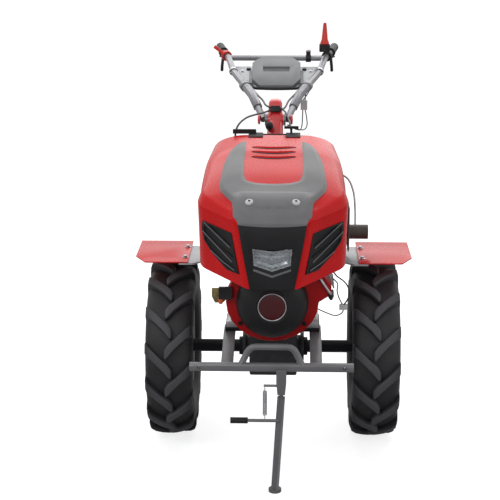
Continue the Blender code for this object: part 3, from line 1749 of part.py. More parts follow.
def make_column(root):
    swivel_z = CASE_TOP_Z + TURRET_HEIGHT
    swivel = body("column", (0, TURRET_Y, swivel_z))
    swivel.parent = root
    flange_low = swivel_z + FIT
    flange_high = flange_low + COLUMN_FLANGE
    flange = rod(
        COLUMN_FLANGE_RADIUS,
        COLUMN_FLANGE,
        (0, TURRET_Y, (flange_low + flange_high) / 2),
        "Z",
        28,
    )
    lean = (COLUMN_HEAD_Y - TURRET_Y) / (COLUMN_HEAD_Z - flange_high)
    cap_y = COLUMN_HEAD_Y + (COLUMN_CAP_Z - COLUMN_HEAD_Z) * lean
    post = bevelled(
        column_rings(
            (
                (COLUMN_FOOT_SIZE, TURRET_Y, flange_high - SINK),
                (COLUMN_NECK_SIZE, COLUMN_HEAD_Y, COLUMN_HEAD_Z),
                (COLUMN_CAP_SIZE, cap_y, COLUMN_CAP_Z),
            )
        ),
        COLUMN_CAP_BEVEL,
        2,
    )
    head = rod(
        COLUMN_HEAD_RADIUS,
        COLUMN_HEAD_WIDTH,
        (0, COLUMN_HEAD_Y, COLUMN_HEAD_Z),
        "X",
        24,
    )
    column = fused(post, flange, head)
    surface = BVHTree.FromObject(column, bpy.context.evaluated_depsgraph_get())
    # the clamp knob stands on a short stem on the column's front
    spot, normal, _, _ = surface.ray_cast(
        Vector((KNOB_X, BONNET_NOSE_Y, KNOB_Z)), Vector((0, 1, 0))
    )
    out = Vector((0, -1, 1)).normalized()
    lift = KNOB_STEM_RADIUS * math.tan(out.angle(normal)) + 2 * FIT
    turn = out.to_track_quat("Z", "Y").to_matrix().to_4x4()
    knob = turned(
        [(KNOB_RADIUS * share, KNOB_STEM + KNOB_HEIGHT * up) for share, up in EGG_SHARES[:-1]]
        + [(KNOB_STEM_RADIUS, KNOB_STEM), (KNOB_STEM_RADIUS, 0), (0, 0)],
        tuple(spot + out * lift),
        "Z",
        14,
        turn,
    )
    piece(knob, "column_knob", "black_plastic", swivel)
    # a small clip holds the two control cables on the column's front
    spot, normal, _, _ = surface.ray_cast(
        Vector((0, BONNET_NOSE_Y, CLIP_Z)), Vector((0, 1, 0))
    )
    turn = Matrix.Rotation(-math.atan2(normal.z, -normal.y), 4, "X")
    centre = spot + normal * (CLIP_SIZE[1] / 2 + FIT)
    clip = block(CLIP_SIZE, tuple(centre), turn, CABLE_RADIUS / 3, 1)
    piece(clip, "cable_clip", "black_plastic", swivel)
    piece(column, "steering_column", "red_paint", swivel)
    return swivel, Matrix.Translation(centre) @ turn


def along_bar(share, line, index):
    """The point and the direction at a share of one span of the bar."""
    start, end = line[index], line[index + 1]
    return start.lerp(end, share), (end - start).normalized()


def plate_height(y):
    """The height of the tubes' middle plane under the console."""
    first, second = Vector(BAR_LINE[1]), Vector(BAR_LINE[3])
    slope = (second.z - first.z) / (second.y - first.y)
    return first.z + (y - first.y) * slope, slope


def make_handlebar(swivel, root):
    tilt = body("handlebar", (0, COLUMN_HEAD_Y, COLUMN_HEAD_Z))
    tilt.parent = swivel
    tilt.location = Vector(tilt["machine_place"]) - Vector(swivel["machine_place"])
    make_bars(tilt)
    make_grips(tilt)
    make_console(tilt)
    make_levers(tilt)
    return tilt


def bar_lines():
    return [[Vector((sign * x, y, z)) for x, y, z in BAR_LINE] for _, sign in SIDES]


def make_bars(tilt):
    hub = Vector(tilt["machine_place"])
    parts = []
    for (_, sign), line in zip(SIDES, bar_lines()):
        parts.append(tube(bent(line, 6 * BAR_RADIUS, 2), BAR_RADIUS))
        parts.append(
            rod(
                COLUMN_HEAD_RADIUS,
                CHEEK_THICKNESS,
                (
                    sign * (COLUMN_HEAD_WIDTH / 2 + FIT + CHEEK_THICKNESS / 2),
                    COLUMN_HEAD_Y,
                    COLUMN_HEAD_Z,
                ),
                "X",
                24,
            )
        )
    parts.append(
        rod(CROSS_RADIUS, 2 * BAR_LINE[3][0], (0, CROSS_Y, CROSS_Z), "X", 16)
    )
    keep_clear = rod(
        COLUMN_HEAD_RADIUS * 1.6,
        COLUMN_HEAD_WIDTH + 2 * FIT,
        tuple(hub),
        "X",
        24,
    )
    frame = cut(fused(*parts), keep_clear)
    place_on(frame, "handlebar_frame", "grey_paint", tilt)


def round_bore(bar):
    """The corner radius of a bore whose flats stand clear of a bar."""
    return (bar + FIT) / math.cos(math.pi / SLEEVE_SIDES)


def sleeve(radius, bar, start, end):
    """A round collar on a bar, from one point to another."""
    run = end - start
    turn = run.to_track_quat("Z", "Y").to_matrix().to_4x4()
    bore = round_bore(bar)
    return turned(
        [(radius, 0), (radius, run.length), (bore, run.length), (bore, 0)],
        tuple(start),
        "Z",
        SLEEVE_SIDES,
        turn,
    )


def make_grips(tilt):
    for (side, sign), line in zip(SIDES, bar_lines()):
        before, end = line[-2], line[-1]
        along = (end - before).normalized()
        turn = along.to_track_quat("Z", "Y").to_matrix().to_4x4()
        wall = GRIP_RADIUS - BAR_RADIUS
        grip = turned(
            [
                (0, wall),
                (GRIP_RADIUS - wall / 2, wall),
                (GRIP_RADIUS, wall / 2),
                (GRIP_RADIUS, -GRIP_LENGTH),
                (round_bore(BAR_RADIUS), -GRIP_LENGTH),
                (round_bore(BAR_RADIUS), FIT),
                (0, FIT),
            ],
            tuple(end),
            "Z",
            SLEEVE_SIDES,
            turn,
        )
        # the hand lever's clamp and blade, under the bar in front of the grip
        root = end - along * (GRIP_LENGTH + CLAMP_LENGTH / 2 - SINK)
        clamp = sleeve(
            CLAMP_RADIUS,
            BAR_RADIUS,
            root - along * CLAMP_LENGTH / 2,
            root + along * CLAMP_LENGTH / 2,
        )
        drop = Vector((0, 0, -HAND_LEVER_DROP))
        tip = root + along * HAND_LEVER_LENGTH + drop
        heel = root + Vector((0, 0, -CLAMP_RADIUS))
        blade = block(
            (HAND_LEVER_WIDTH, HAND_LEVER_THICKNESS, (tip - heel).length),
            tuple((tip + heel) / 2),
            (tip - heel).to_track_quat("Z", "Y").to_matrix().to_4x4(),
            HAND_LEVER_THICKNESS / 3,
            1,
        )
        place_on(fused(grip, clamp, blade), f"grip_{side}", "rubber", tilt)

        # a rubber sleeve with a clamp ring on each lower arm
        low, _ = along_bar(ARM_GRIP_SHARES[0], line, 0)
        high, run = along_bar(ARM_GRIP_SHARES[1], line, 1)
        arm = tube(bent([low, line[1], high], 6 * BAR_RADIUS, 2), ARM_GRIP_RADIUS)
        ring = rod_between(CLAMP_RADIUS, high - run * CLAMP_LENGTH, high + run * SINK, 20)
        bore = tube(bent(line, 6 * BAR_RADIUS, 2), BAR_RADIUS + FIT)
        arm = cut(fused(arm, ring), bore)
        place_on(arm, f"arm_sleeve_{side}", "rubber", tilt)


def make_console(tilt):
    # the plate under the console lies across both bars, on their undersides
    rear_half, rear_y = PLATE_REAR
    front_half, front_y = PLATE_FRONT
    _, slope = plate_height(front_y)
    lean = Matrix.Rotation(math.atan(slope), 4, "X")
    middle_y = (rear_y + front_y) / 2
    stretch = math.hypot(1, slope)
    seat_drop = (BAR_RADIUS + FIT + PLATE_THICKNESS / 2) * stretch
    seat = Vector((0, middle_y, plate_height(middle_y)[0] - seat_drop))
    depth = (rear_y - front_y) * stretch
    slot_x, slot_y = PLATE_SLOT
    slot_at = (slot_y - middle_y) * stretch
    wide, long = PLATE_SLOT_SIZE
    slots = [
        [
            (sign * slot_x - wide / 2, slot_at - long / 2),
            (sign * slot_x + wide / 2, slot_at - long / 2),
            (sign * slot_x + wide / 2, slot_at + long / 2),
            (sign * slot_x - wide / 2, slot_at + long / 2),
        ]
        for _, sign in SIDES
    ]
    plate = sheet(
        [
            (-front_half, -depth / 2),
            (front_half, -depth / 2),
            (rear_half - PLATE_BEVEL, depth / 2 - 2 * PLATE_BEVEL),
            (rear_half - 2 * PLATE_BEVEL, depth / 2),
            (2 * PLATE_BEVEL - rear_half, depth / 2),
            (PLATE_BEVEL - rear_half, depth / 2 - 2 * PLATE_BEVEL),
        ],
        PLATE_THICKNESS,
        tuple(seat),
        "Z",
        slots,
        lean,
    )
    place_on(plate, "console_plate", "light_grey_paint", tilt)

    def over_plate(y, rise=0):
        clear = (PLATE_THICKNESS / 2 + FIT) * stretch
        return (y, seat.z + (y - seat.y) * slope + clear + rise)

    skirt_y = front_y - CONSOLE_SKIRT_REACH
    side_view = [
        over_plate(CONSOLE_REAR_Y, CONSOLE_REAR_RISE),
        over_plate(CONSOLE_FRONT_Y, CONSOLE_FRONT_RISE),
        over_plate(CONSOLE_FRONT_Y - PLATE_THICKNESS, CONSOLE_FRONT_RISE - CONSOLE_SKIRT),
        over_plate(front_y - PLATE_THICKNESS, -CONSOLE_SKIRT + CONSOLE_FRONT_RISE),
        over_plate(front_y - PLATE_THICKNESS),
        over_plate(CONSOLE_REAR_Y),
    ]
    rear, front = CONSOLE_REAR_Y, skirt_y
    half_plan = [(half, front + (rear - front) * share) for half, share in CONSOLE_PLAN_SHARES]
    plan = half_plan + [(-x, y) for x, y in reversed(half_plan)]
    console = sheet(side_view, 2 * rear_half, (0, 0, 0), "X")
    column = sheet(plan, 2 * BONNET_PEAK_Z, (0, 0, BONNET_PEAK_Z))
    console = bevelled(boolean(console, [column], "INTERSECT"), CONSOLE_BEVEL, 2)
    # a shallow recess crosses the top, and a thin ear lies beside it on the plate
    top_slope = slope + (CONSOLE_REAR_RISE - CONSOLE_FRONT_RISE) / (
        CONSOLE_REAR_Y - CONSOLE_FRONT_Y
    )
    middle = RECESS_Y + RECESS_LENGTH / 2
    share = (middle - CONSOLE_FRONT_Y) / (CONSOLE_REAR_Y - CONSOLE_FRONT_Y)
    rise = CONSOLE_FRONT_RISE + (CONSOLE_REAR_RISE - CONSOLE_FRONT_RISE) * share
    recess = block(
        (2 * RECESS_HALF_WIDTH, RECESS_LENGTH, 2 * RECESS_DEPTH),
        (0, *over_plate(middle, rise)),
        Matrix.Rotation(math.atan(top_slope), 4, "X"),
    )
    ears = block(
        (2 * EAR_HALF_WIDTH, EAR_LENGTH, EAR_THICKNESS),
        (0, *over_plate(EAR_START_Y + EAR_LENGTH / 2, EAR_THICKNESS / 2 * stretch)),
        lean,
    )
    console = fused(cut(console, recess), ears)
    place_on(console, "console", "grey_paint", tilt)


def make_levers(tilt):
    right_line, left_line = bar_lines()
    # the gear lever stands on a bracket clamped round the left-hand bar
    foot, along = along_bar(LEVER_SHARE, left_line, 3)
    clamp = sleeve(
        CLAMP_RADIUS,
        BAR_RADIUS,
        foot - along * CLAMP_LENGTH / 2,
        foot + along * CLAMP_LENGTH / 2,
    )
    base = foot + Vector((-LEVER_INSET, 0, CLAMP_RADIUS - SINK))
    bracket = block(
        (2 * LEVER_BRACKET_HALF, CLAMP_LENGTH, LEVER_BRACKET),
        tuple(base + Vector((0, 0, LEVER_BRACKET / 2))),
        None,
        SINK / 2,
        1,
    )
    place_on(fused(clamp, bracket), "lever_bracket", "black_plastic", tilt)
    low = base.z + LEVER_BRACKET + FIT
    handle = turned(
        [
            (0, LEVER_TOP_Z),
            (LEVER_TIP_RADIUS * 0.7, LEVER_TOP_Z),
            (LEVER_TIP_RADIUS, LEVER_TOP_Z - LEVER_TIP_RADIUS),
            (LEVER_FOOT_RADIUS * 0.72, low + LEVER_FOOT_RADIUS),
            (LEVER_FOOT_RADIUS, low + LEVER_FOOT_RADIUS / 3),
            (LEVER_FOOT_RADIUS, low),
            (0, low),
        ],
        (base.x, base.y, 0),
        "Z",
        16,
    )
    place_on(handle, "gear_lever", "red_plastic", tilt)

    # the throttle lever points out from a collar on the other bar
    foot, along = along_bar(THROTTLE_SHARE, right_line, 3)
    clamp = sleeve(
        CLAMP_RADIUS,
        BAR_RADIUS,
        foot - along * CLAMP_LENGTH / 2,
        foot + along * CLAMP_LENGTH / 2,
    )
    out = Vector((-1, 0, 0.75)).normalized()
    start = foot + out * (BAR_RADIUS + FIT + SINK / 2)
    end = foot + out * (BAR_RADIUS + THROTTLE_REACH)
    blade = block(
        (THROTTLE_THICKNESS, CLAMP_LENGTH * 0.7, (end - start).length),
        tuple((start + end) / 2),
        out.to_track_quat("Z", "Y").to_matrix().to_4x4(),
        THROTTLE_THICKNESS / 3,
        1,
    )
    place_on(fused(clamp, blade), "throttle_lever", "red_plastic", tilt)

    # a control knob on a collar round the cross bar
    middle = Vector((BAR_KNOB_X, CROSS_Y, CROSS_Z))
    half = Vector((BAR_KNOB_RADIUS, 0, 0))
    clamp = sleeve(BAR_CLAMP_RADIUS, CROSS_RADIUS, middle - half, middle + half)
    low = CROSS_RADIUS + FIT + SINK / 2
    knob = turned(
        [
            (0, BAR_KNOB_TOP),
            (BAR_KNOB_RADIUS * 0.7, BAR_KNOB_TOP),
            (BAR_KNOB_RADIUS, BAR_KNOB_TOP - BAR_KNOB_RADIUS / 2),
            (BAR_KNOB_RADIUS * 0.8, low),
            (0, low),
        ],
        tuple(middle),
        "Z",
        14,
    )
    place_on(fused(clamp, knob), "bar_knob", "black_plastic", tilt)


# Control cables

# Each cable has an upper stretch, from a ring on a bar to the clip on the column, and a lower
# one, from the clip to the top of the case. Sides: the hand of the bar, the clip's channel.
CABLE_ROUTES = (
    (
        "a",
        (-1, 1),
        ((-0.066, 0.436, 1.096), (-0.046, 0.376, 1.086), (-0.034, 0.322, 1.077)),
        (
            (0.034, 0.262, 1.064),
            (0.047, 0.195, 1.048),
            (0.055, 0.130, 1.020),
            (0.058, 0.100, 0.950),
            (0.060, 0.098, 0.820),
            (0.058, 0.098, 0.700),
        ),
    ),
    (
        "b",
        (1, -1),
        ((0.066, 0.436, 1.096), (0.046, 0.376, 1.084), (0.034, 0.320, 1.070)),
        (
            (-0.042, 0.250, 1.062),
            (-0.097, 0.170, 1.058),
            (-0.128, 0.112, 1.032),
            (-0.130, 0.098, 0.975),
            (-0.106, 0.095, 0.860),
            (-0.062, 0.095, 0.750),
            (-0.050, 0.095, 0.690),
        ),
    ),
)


def make_cables(root, tilt, clip_place):
    """Two crossed control cables, each in two stretches held by the clip."""
    lines = dict(zip((-1, 1), bar_lines()))
    reach = ARM_GRIP_RADIUS + CABLE_RADIUS + FIT
    for name, (hand, channel), upper, lower in CABLE_ROUTES:
        ring_end, run = along_bar(ARM_GRIP_SHARES[1], lines[hand], 1)
        inward = Vector((-hand, 0, 0))
        inward = (inward - run * inward.dot(run)).normalized()
        start = ring_end - run * (CLAMP_LENGTH + FIT) + inward * reach
        side = Vector((CLIP_SIZE[0] / 2 + FIT, 0, channel * CLIP_PITCH / 2))
        near, far = (side.x, side.x + 2 * CABLE_RADIUS)
        into = [clip_place @ Vector((hand * x, 0, side.z)) for x in (far, near)]
        out = [clip_place @ Vector((-hand * x, 0, side.z)) for x in (near, far)]
        line = smooth_line([start, *upper, *into], CABLE_STEP)
        place_on(tube(line, CABLE_RADIUS), f"cable_{name}_upper", "cable", tilt)
        foot = Vector((lower[-1][0], lower[-1][1], CASE_TOP_Z + FIT))
        line = smooth_line([*out, *lower, foot], CABLE_STEP)
        piece(tube(line, CABLE_RADIUS), f"cable_{name}_lower", "cable", root)


def place_on(obj, name, finish, tilt):
    """Hang a piece on the handlebar, whose body lies two joints from the root."""
    hub = Vector(tilt["machine_place"])
    made = piece(obj, name, finish, tilt)
    made.data.transform(Matrix.Translation(tilt.location - hub))
    return made


def main():
    for obj in list(bpy.data.objects):
        bpy.data.objects.remove(obj, do_unlink=True)
    nodes = bpy.data.collections.new("walking_tractor")
    bpy.context.scene.collection.children.link(nodes)
    root = body("tractor", (0, 0, 0))
    make_wheels(root)
    make_transmission(root)
    make_engine(root)
    make_frame(root)
    make_mudguards(root)
    make_stand(root)
    make_bonnet(root)
    swivel, clip_place = make_column(root)
    tilt = make_handlebar(swivel, root)
    make_cables(root, tilt, clip_place)
    bpy.context.view_layer.update()
    corners = [
        obj.matrix_world @ Vector(corner)
        for obj in nodes.objects
        if obj.type == "MESH"
        for corner in obj.bound_box
    ]
    root.location = [
        -(min(c[i] for c in corners) + max(c[i] for c in corners)) / 2 for i in (0, 1)
    ] + [-min(c[2] for c in corners)]
    bpy.context.view_layer.update()


main()
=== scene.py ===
"""Walking tractor on a pale studio floor, seen from the front and a little above.

Metres, +Z up. The machine faces -Y, so its own right side is at -X. Places are worked out
from the wheel axle, as on the solid model: at() turns them to the frame's own coordinates.
"""

import json
import math

import bmesh
import bpy
from mathutils import Matrix, Vector
from mathutils.bvhtree import BVHTree

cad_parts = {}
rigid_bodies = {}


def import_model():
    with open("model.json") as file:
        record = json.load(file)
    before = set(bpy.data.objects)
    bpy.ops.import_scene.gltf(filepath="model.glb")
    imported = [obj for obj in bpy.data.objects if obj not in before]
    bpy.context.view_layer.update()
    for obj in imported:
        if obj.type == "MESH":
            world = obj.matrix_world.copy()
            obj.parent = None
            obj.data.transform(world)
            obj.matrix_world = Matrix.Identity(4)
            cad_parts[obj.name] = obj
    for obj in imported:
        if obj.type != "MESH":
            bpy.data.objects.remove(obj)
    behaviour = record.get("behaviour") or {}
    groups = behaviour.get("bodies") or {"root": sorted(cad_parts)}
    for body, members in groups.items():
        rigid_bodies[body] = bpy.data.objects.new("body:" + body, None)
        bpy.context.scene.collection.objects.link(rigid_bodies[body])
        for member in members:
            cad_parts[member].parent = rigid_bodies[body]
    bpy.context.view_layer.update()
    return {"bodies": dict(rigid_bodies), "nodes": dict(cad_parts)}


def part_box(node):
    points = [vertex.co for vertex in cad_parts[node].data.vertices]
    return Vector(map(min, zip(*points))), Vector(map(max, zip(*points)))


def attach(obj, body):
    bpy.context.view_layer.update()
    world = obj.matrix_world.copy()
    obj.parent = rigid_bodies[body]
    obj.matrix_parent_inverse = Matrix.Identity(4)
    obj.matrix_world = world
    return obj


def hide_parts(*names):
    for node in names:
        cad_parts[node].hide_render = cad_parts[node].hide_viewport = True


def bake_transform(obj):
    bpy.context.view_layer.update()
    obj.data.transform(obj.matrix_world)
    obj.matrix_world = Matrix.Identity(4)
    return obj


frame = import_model()

AXLE_Y = (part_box("tyre_left")[0].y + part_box("tyre_left")[1].y) / 2


def at(x, y, z):
    """A place measured from the axle, in the frame's coordinates."""
    return Vector((x, y + AXLE_Y, z))


UP, DOWN = Vector((0, 0, 1)), Vector((0, 0, -1))
FRONT, BACK = Vector((0, -1, 0)), Vector((0, 1, 0))
SIDES = (("left", 1), ("right", -1))
# Where searches for a surface start: ahead of the machine, above it or beside it
AHEAD_Y = -0.7
ABOVE_Z = 1.6
BESIDE_X = 0.6


# Materials

# Where on a noise's range a material's dark tone ends and its light tone begins
TONE_STOPS = (0.3, 0.7)
COAT_ROUGHNESS = 0.08


def linear(code):
    """An sRGB hex colour as a linear one with full alpha."""
    parts = [int(code[i : i + 2], 16) / 255 for i in (1, 3, 5)]
    return (*[p / 12.92 if p <= 0.04045 else ((p + 0.055) / 1.055) ** 2.4 for p in parts], 1.0)


def feed(tree, node, inputs):
    """Give a node's inputs their values or other nodes' sockets."""
    for name, value in inputs.items():
        if isinstance(value, bpy.types.NodeSocket):
            tree.links.new(value, node.inputs[name])
        else:
            node.inputs[name].default_value = value


def add(tree, kind, inputs=None, **settings):
    """Add a shader node with its settings and inputs."""
    made = tree.nodes.new("ShaderNode" + kind)
    for name, value in settings.items():
        setattr(made, name, value)
    feed(tree, made, inputs or {})
    return made


def new_material(name):
    made = bpy.data.materials.new(name)
    made.use_nodes = True
    return made, made.node_tree, made.node_tree.nodes["Principled BSDF"]


def ramp(tree, factor, low, high):
    """A colour that goes from one hex colour to another over the tone stops."""
    made = add(tree, "ValToRGB", {"Fac": factor})
    for stop, place, code in zip(made.color_ramp.elements, TONE_STOPS, (low, high)):
        stop.position, stop.color = place, linear(code)
    return made.outputs["Color"]


def noise(tree, place, scale, detail=2.0):
    made = add(tree, "TexNoise", {"Vector": place, "Scale": scale, "Detail": detail})
    return made.outputs["Fac"]


def coated(
    name, light, dark, roughness, grain_mm, bump_mm, metal=0.0, coat=0.0, cloud_mm=90.0, gloss=0.5
):
    """A painted or moulded surface: slow tone change, fine grain and a matching bump."""
    made, tree, shader = new_material(name)
    place = add(tree, "TexCoord").outputs["Object"]
    cloud = noise(tree, place, 1000 / cloud_mm, 3.0)
    grain = noise(tree, place, 1000 / grain_mm)
    low, high = roughness * 0.88, roughness * 1.14
    rough = add(tree, "MapRange", {"Value": grain, "To Min": low, "To Max": high})
    bump = add(tree, "Bump", {"Height": grain, "Strength": 1.0, "Distance": bump_mm / 1000})
    looks = {
        "Base Color": ramp(tree, cloud, dark, light),
        "Roughness": rough.outputs["Result"],
        "Normal": bump.outputs["Normal"],
        "Metallic": metal,
        "Specular IOR Level": gloss,
        "Coat Weight": coat,
        "Coat Roughness": COAT_ROUGHNESS,
    }
    feed(tree, shader, looks)
    return made


# Gloss enamel on pressed steel: deep red with a wet coat and a faint orange peel
ENAMEL = coated("red_enamel", "#E4060C", "#D80409", 0.27, 2.2, 0.008, coat=0.12, gloss=0.2)
# The same enamel on the column's heavy tube, thicker and glossier
COLUMN_RED = coated("thick_red_enamel", "#E8262C", "#DC1C22", 0.36, 2.2, 0.03, coat=0.9)
# Satin black enamel on welded steel
BLACK_ENAMEL = coated("black_enamel", "#222024", "#1A181C", 0.50, 2.5, 0.05, gloss=0.12)
# Grey metallic powder coat on tube and plate
POWDER_GREY = coated(
    "grey_powder_coat", "#7C7B7D", "#6E6D6F", 0.34, 1.2, 0.06, metal=0.2, gloss=0.4
)
# Pale grey powder coat on bent brackets
POWDER_PALE = coated("pale_grey_powder_coat", "#C2C4C6", "#B4B7B9", 0.42, 1.2, 0.05)
# Sand-cast iron under dark grey paint: the casting's skin shows through
CAST_IRON = coated(
    "painted_cast_iron", "#39393B", "#2C2C2E", 0.55, 1.6, 0.22, cloud_mm=40, gloss=0.3
)
# Die-cast aluminium: bright, slightly rough skin
CAST_ALUMINIUM = coated("die_cast_aluminium", "#B4B3B4", "#98979A", 0.42, 1.1, 0.10, metal=0.85)
# Silver wheel paint over pressed steel
WHEEL_SILVER = coated("silver_wheel_paint", "#B9BABD", "#A9AAAE", 0.36, 1.5, 0.04, metal=0.55)
# Moulded black ABS with a fine spark-eroded grain
BLACK_ABS = coated("black_abs", "#232224", "#1C1B1D", 0.42, 0.9, 0.05, gloss=0.25)
# Heat-proof black paint on the silencer, gone brownish where it is hottest
EXHAUST_BLACK = coated("exhaust_black", "#3A3634", "#4A3F38", 0.60, 1.4, 0.10, cloud_mm=35)
# Yellow chromate on zinc plate
YELLOW_ZINC = coated(
    "yellow_zinc_plate", "#94855A", "#716745", 0.34, 3.0, 0.02, metal=0.8, cloud_mm=12
)
# Bright zinc plate on screws and the spring
BRIGHT_ZINC = coated(
    "bright_zinc_plate", "#BDBDC0", "#A4A4A8", 0.30, 2.0, 0.02, metal=0.95, cloud_mm=15
)
# Vulcanised rubber of the tyres: dark and dry, with a paler tone on top of the lugs that is a
# painted highlight
TYRE_RUBBER = coated("tyre_rubber", "#2F2E30", "#242325", 0.56, 1.3, 0.12, cloud_mm=55, gloss=0.35)
# Soft rubber of the hand grips
GRIP_RUBBER = coated("grip_rubber", "#232224", "#1B1A1C", 0.62, 1.0, 0.08, gloss=0.3)
# Moulded red ABS
RED_ABS = coated("red_abs", "#E63A2C", "#DA3024", 0.36, 1.0, 0.02, gloss=0.4)
# Moulded grey-green ABS of the console
CONSOLE_ABS = coated("grey_abs", "#747577", "#696A6C", 0.44, 0.8, 0.05, gloss=0.4)
# White nylon of plugs and push buttons
WHITE_NYLON = coated("white_nylon", "#E2E2E0", "#D6D6D4", 0.42, 1.2, 0.03)
# Silver powder coat of the handlebar tubes, a little brighter than the stand
TUBE_SILVER = coated("silver_powder_coat", "#8F8F92", "#7B7B7F", 0.32, 1.2, 0.05, metal=0.45)
# Stove enamel of the blower housing, painted a deeper red than the bonnet as painted shade, without
# its gloss
BLOWER_RED = coated("blower_enamel_painted_shade", "#B0080E", "#92060B", 0.38, 2.0, 0.03, gloss=0.2)
# Extruded black PVC of cable sheaths and leads
SHEATH = coated("pvc_sheath", "#2E2D30", "#242326", 0.44, 1.0, 0.02)
# Matt grey vinyl of the bonnet's stripe
GREY_VINYL = coated("grey_vinyl", "#807F80", "#777677", 0.42, 1.5, 0.02, gloss=0.3)
# Vacuum-metallised reflector
CHROME = coated(
    "metallised_reflector", "#B9BBBE", "#9FA1A4", 0.20, 3.0, 0.01, metal=1.0, cloud_mm=14
)
# Satin grey moulding of trims, also used for the painted highlights along the grille's blades
GREY_TRIM = coated("grey_trim_abs", "#77787A", "#6A6B6D", 0.38, 1.0, 0.02, gloss=0.4)
# Braided bright sleeve over the plug lead
BRAID = coated("braided_steel_sleeve", "#B9B9BC", "#8E8E92", 0.34, 1.4, 0.12, metal=0.9, cloud_mm=4)
# Dark red lacquer of the starter's blank badge
BADGE_RED = coated("dark_red_lacquer", "#560D13", "#450A10", 0.30, 1.5, 0.01, gloss=0.4)
# Moulded ABS laid in the console's recess, painted a tone darker than its lid as painted shade
SHADOW_ABS = coated("recess_painted_shade_abs", "#4C4D50", "#434447", 0.48, 0.8, 0.05, gloss=0.3)
# Pale rose ABS of the push button's cap
PALE_ABS = coated("pale_abs", "#E3D3D4", "#D8C6C8", 0.36, 1.0, 0.02)
# Orange moulded tap handle
ORANGE_ABS = coated("orange_abs", "#D9622A", "#CC5622", 0.38, 1.0, 0.02)


def lens_material():
    """Clear polycarbonate of the headlamp."""
    made, tree, shader = new_material("clear_polycarbonate")
    haze = noise(tree, add(tree, "TexCoord").outputs["Object"], 60.0)
    looks = {
        "Base Color": ramp(tree, haze, "#E4E8EA", "#F0F3F4"),
        "Roughness": 0.04,
        "IOR": 1.58,
        "Transmission Weight": 0.9,
    }
    feed(tree, shader, looks)
    return made


LENS = lens_material()

FINISHES = {
    ENAMEL: "bonnet_shell mudguard_left mudguard_right",
    COLUMN_RED: "steering_column",
    BLACK_ENAMEL: "axle_left axle_right engine_frame rear_hitch bonnet_hinge_left"
    " bonnet_hinge_right bonnet_support fuel_tank",
    POWDER_GREY: "front_bumper stand_bracket stand_leg",
    POWDER_PALE: "mudguard_carrier console_plate",
    TUBE_SILVER: "handlebar_frame arm_sleeve_left arm_sleeve_right",
    BLOWER_RED: "blower_housing",
    CAST_IRON: "transmission_case",
    CAST_ALUMINIUM: "crankcase cylinder clutch_housing carburettor",
    WHEEL_SILVER: "rim_left rim_right",
    BLACK_ABS: "front_mask grille_left grille_right recoil_cover air_cleaner column_knob"
    " cable_clip bar_knob lever_bracket",
    EXHAUST_BLACK: "muffler",
    TYRE_RUBBER: "tyre_left tyre_right",
    GRIP_RUBBER: "grip_left grip_right stand_grip",
    RED_ABS: "gear_lever throttle_lever",
    BADGE_RED: "recoil_badge",
    CONSOLE_ABS: "console",
    WHITE_NYLON: "bonnet_button_left bonnet_button_right",
    YELLOW_ZINC: "throttle_bracket",
    BRIGHT_ZINC: "stand_spring",
    SHEATH: "cable_a_upper cable_a_lower cable_b_upper cable_b_lower",
    LENS: "headlamp",
}

SLOT_OF = {}
for material, names in FINISHES.items():
    for name in names.split():
        slots = frame["nodes"][name].material_slots
        SLOT_OF[name] = (material, slots[0].material.name.split(".")[0])
        for slot in slots:
            slot.material = material


# Modelling tools


def start(kind, **settings):
    """Add a primitive that is the only thing selected."""
    bpy.ops.object.select_all(action="DESELECT")
    getattr(bpy.ops.mesh, f"primitive_{kind}_add")(**settings)
    return bpy.context.active_object


def choose(piece, test, part="faces"):
    """In edit mode, select only the faces, edges or corners that pass a test."""
    shape = bmesh.from_edit_mesh(piece.data)
    for item in (*shape.faces, *shape.edges, *shape.verts):
        item.select_set(False)
    for item in getattr(shape, part):
        if test(item):
            item.select_set(True)
    shape.select_flush_mode()
    bmesh.update_edit_mesh(piece.data)


def edit(piece):
    alone(piece)
    bpy.ops.object.mode_set(mode="EDIT")


def alone(piece):
    bpy.ops.object.select_all(action="DESELECT")
    piece.select_set(True)
    bpy.context.view_layer.objects.active = piece


def leave():
    bpy.ops.object.mode_set(mode="OBJECT")


def facing(direction, least=0.9):
    """A test for faces that look one way."""
    way = Vector(direction)
    return lambda face: face.normal.dot(way) > least


def modify(piece, kind, **settings):
    """Add a modifier and apply it."""
    alone(piece)
    change = piece.modifiers.new(kind.title(), kind)
    for name, value in settings.items():
        setattr(change, name, value)
    bpy.ops.object.modifier_apply(modifier=change.name)


def bevelled(piece, width, segments=2, angle=30):
    limit = {"limit_method": "ANGLE", "angle_limit": math.radians(angle)}
    modify(piece, "BEVEL", width=width, segments=segments, **limit)


def clean(merge=None):
    """In edit mode, merge corners closer than a distance and turn the faces outwards."""
    bpy.ops.mesh.select_all(action="SELECT")
    if merge:
        bpy.ops.mesh.remove_doubles(threshold=merge)
    bpy.ops.mesh.normals_make_consistent(inside=False)


def cleaned(piece, merge=None):
    edit(piece)
    clean(merge)
    leave()


def turned_to(piece, way):
    """Turn a sheet's faces round if they look away from a direction."""
    if sum(face.normal.dot(way) for face in piece.data.polygons) < 0:
        piece.data.flip_normals()


def panelled(piece, panels):
    """Inset faces. Columns: the way they face, the inset's thickness and its depth."""
    edit(piece)
    for way, thickness, depth in panels:
        choose(piece, facing(way))
        bpy.ops.mesh.inset(thickness=thickness, depth=depth)
    leave()


def settle(piece):
    """Put the place into the mesh, so that the object itself is at the origin."""
    piece.data.transform(piece.matrix_world)
    piece.matrix_world = Matrix.Identity(4)


def settle_now(piece):
    bpy.context.view_layer.update()
    settle(piece)


def placed(piece, place):
    """A piece moved and turned by a matrix."""
    settle_now(piece)
    piece.matrix_world = place
    settle_now(piece)
    return piece


def linked(name, data):
    """A new object in the scene."""
    piece = bpy.data.objects.new(name, data)
    bpy.context.scene.collection.objects.link(piece)
    return piece


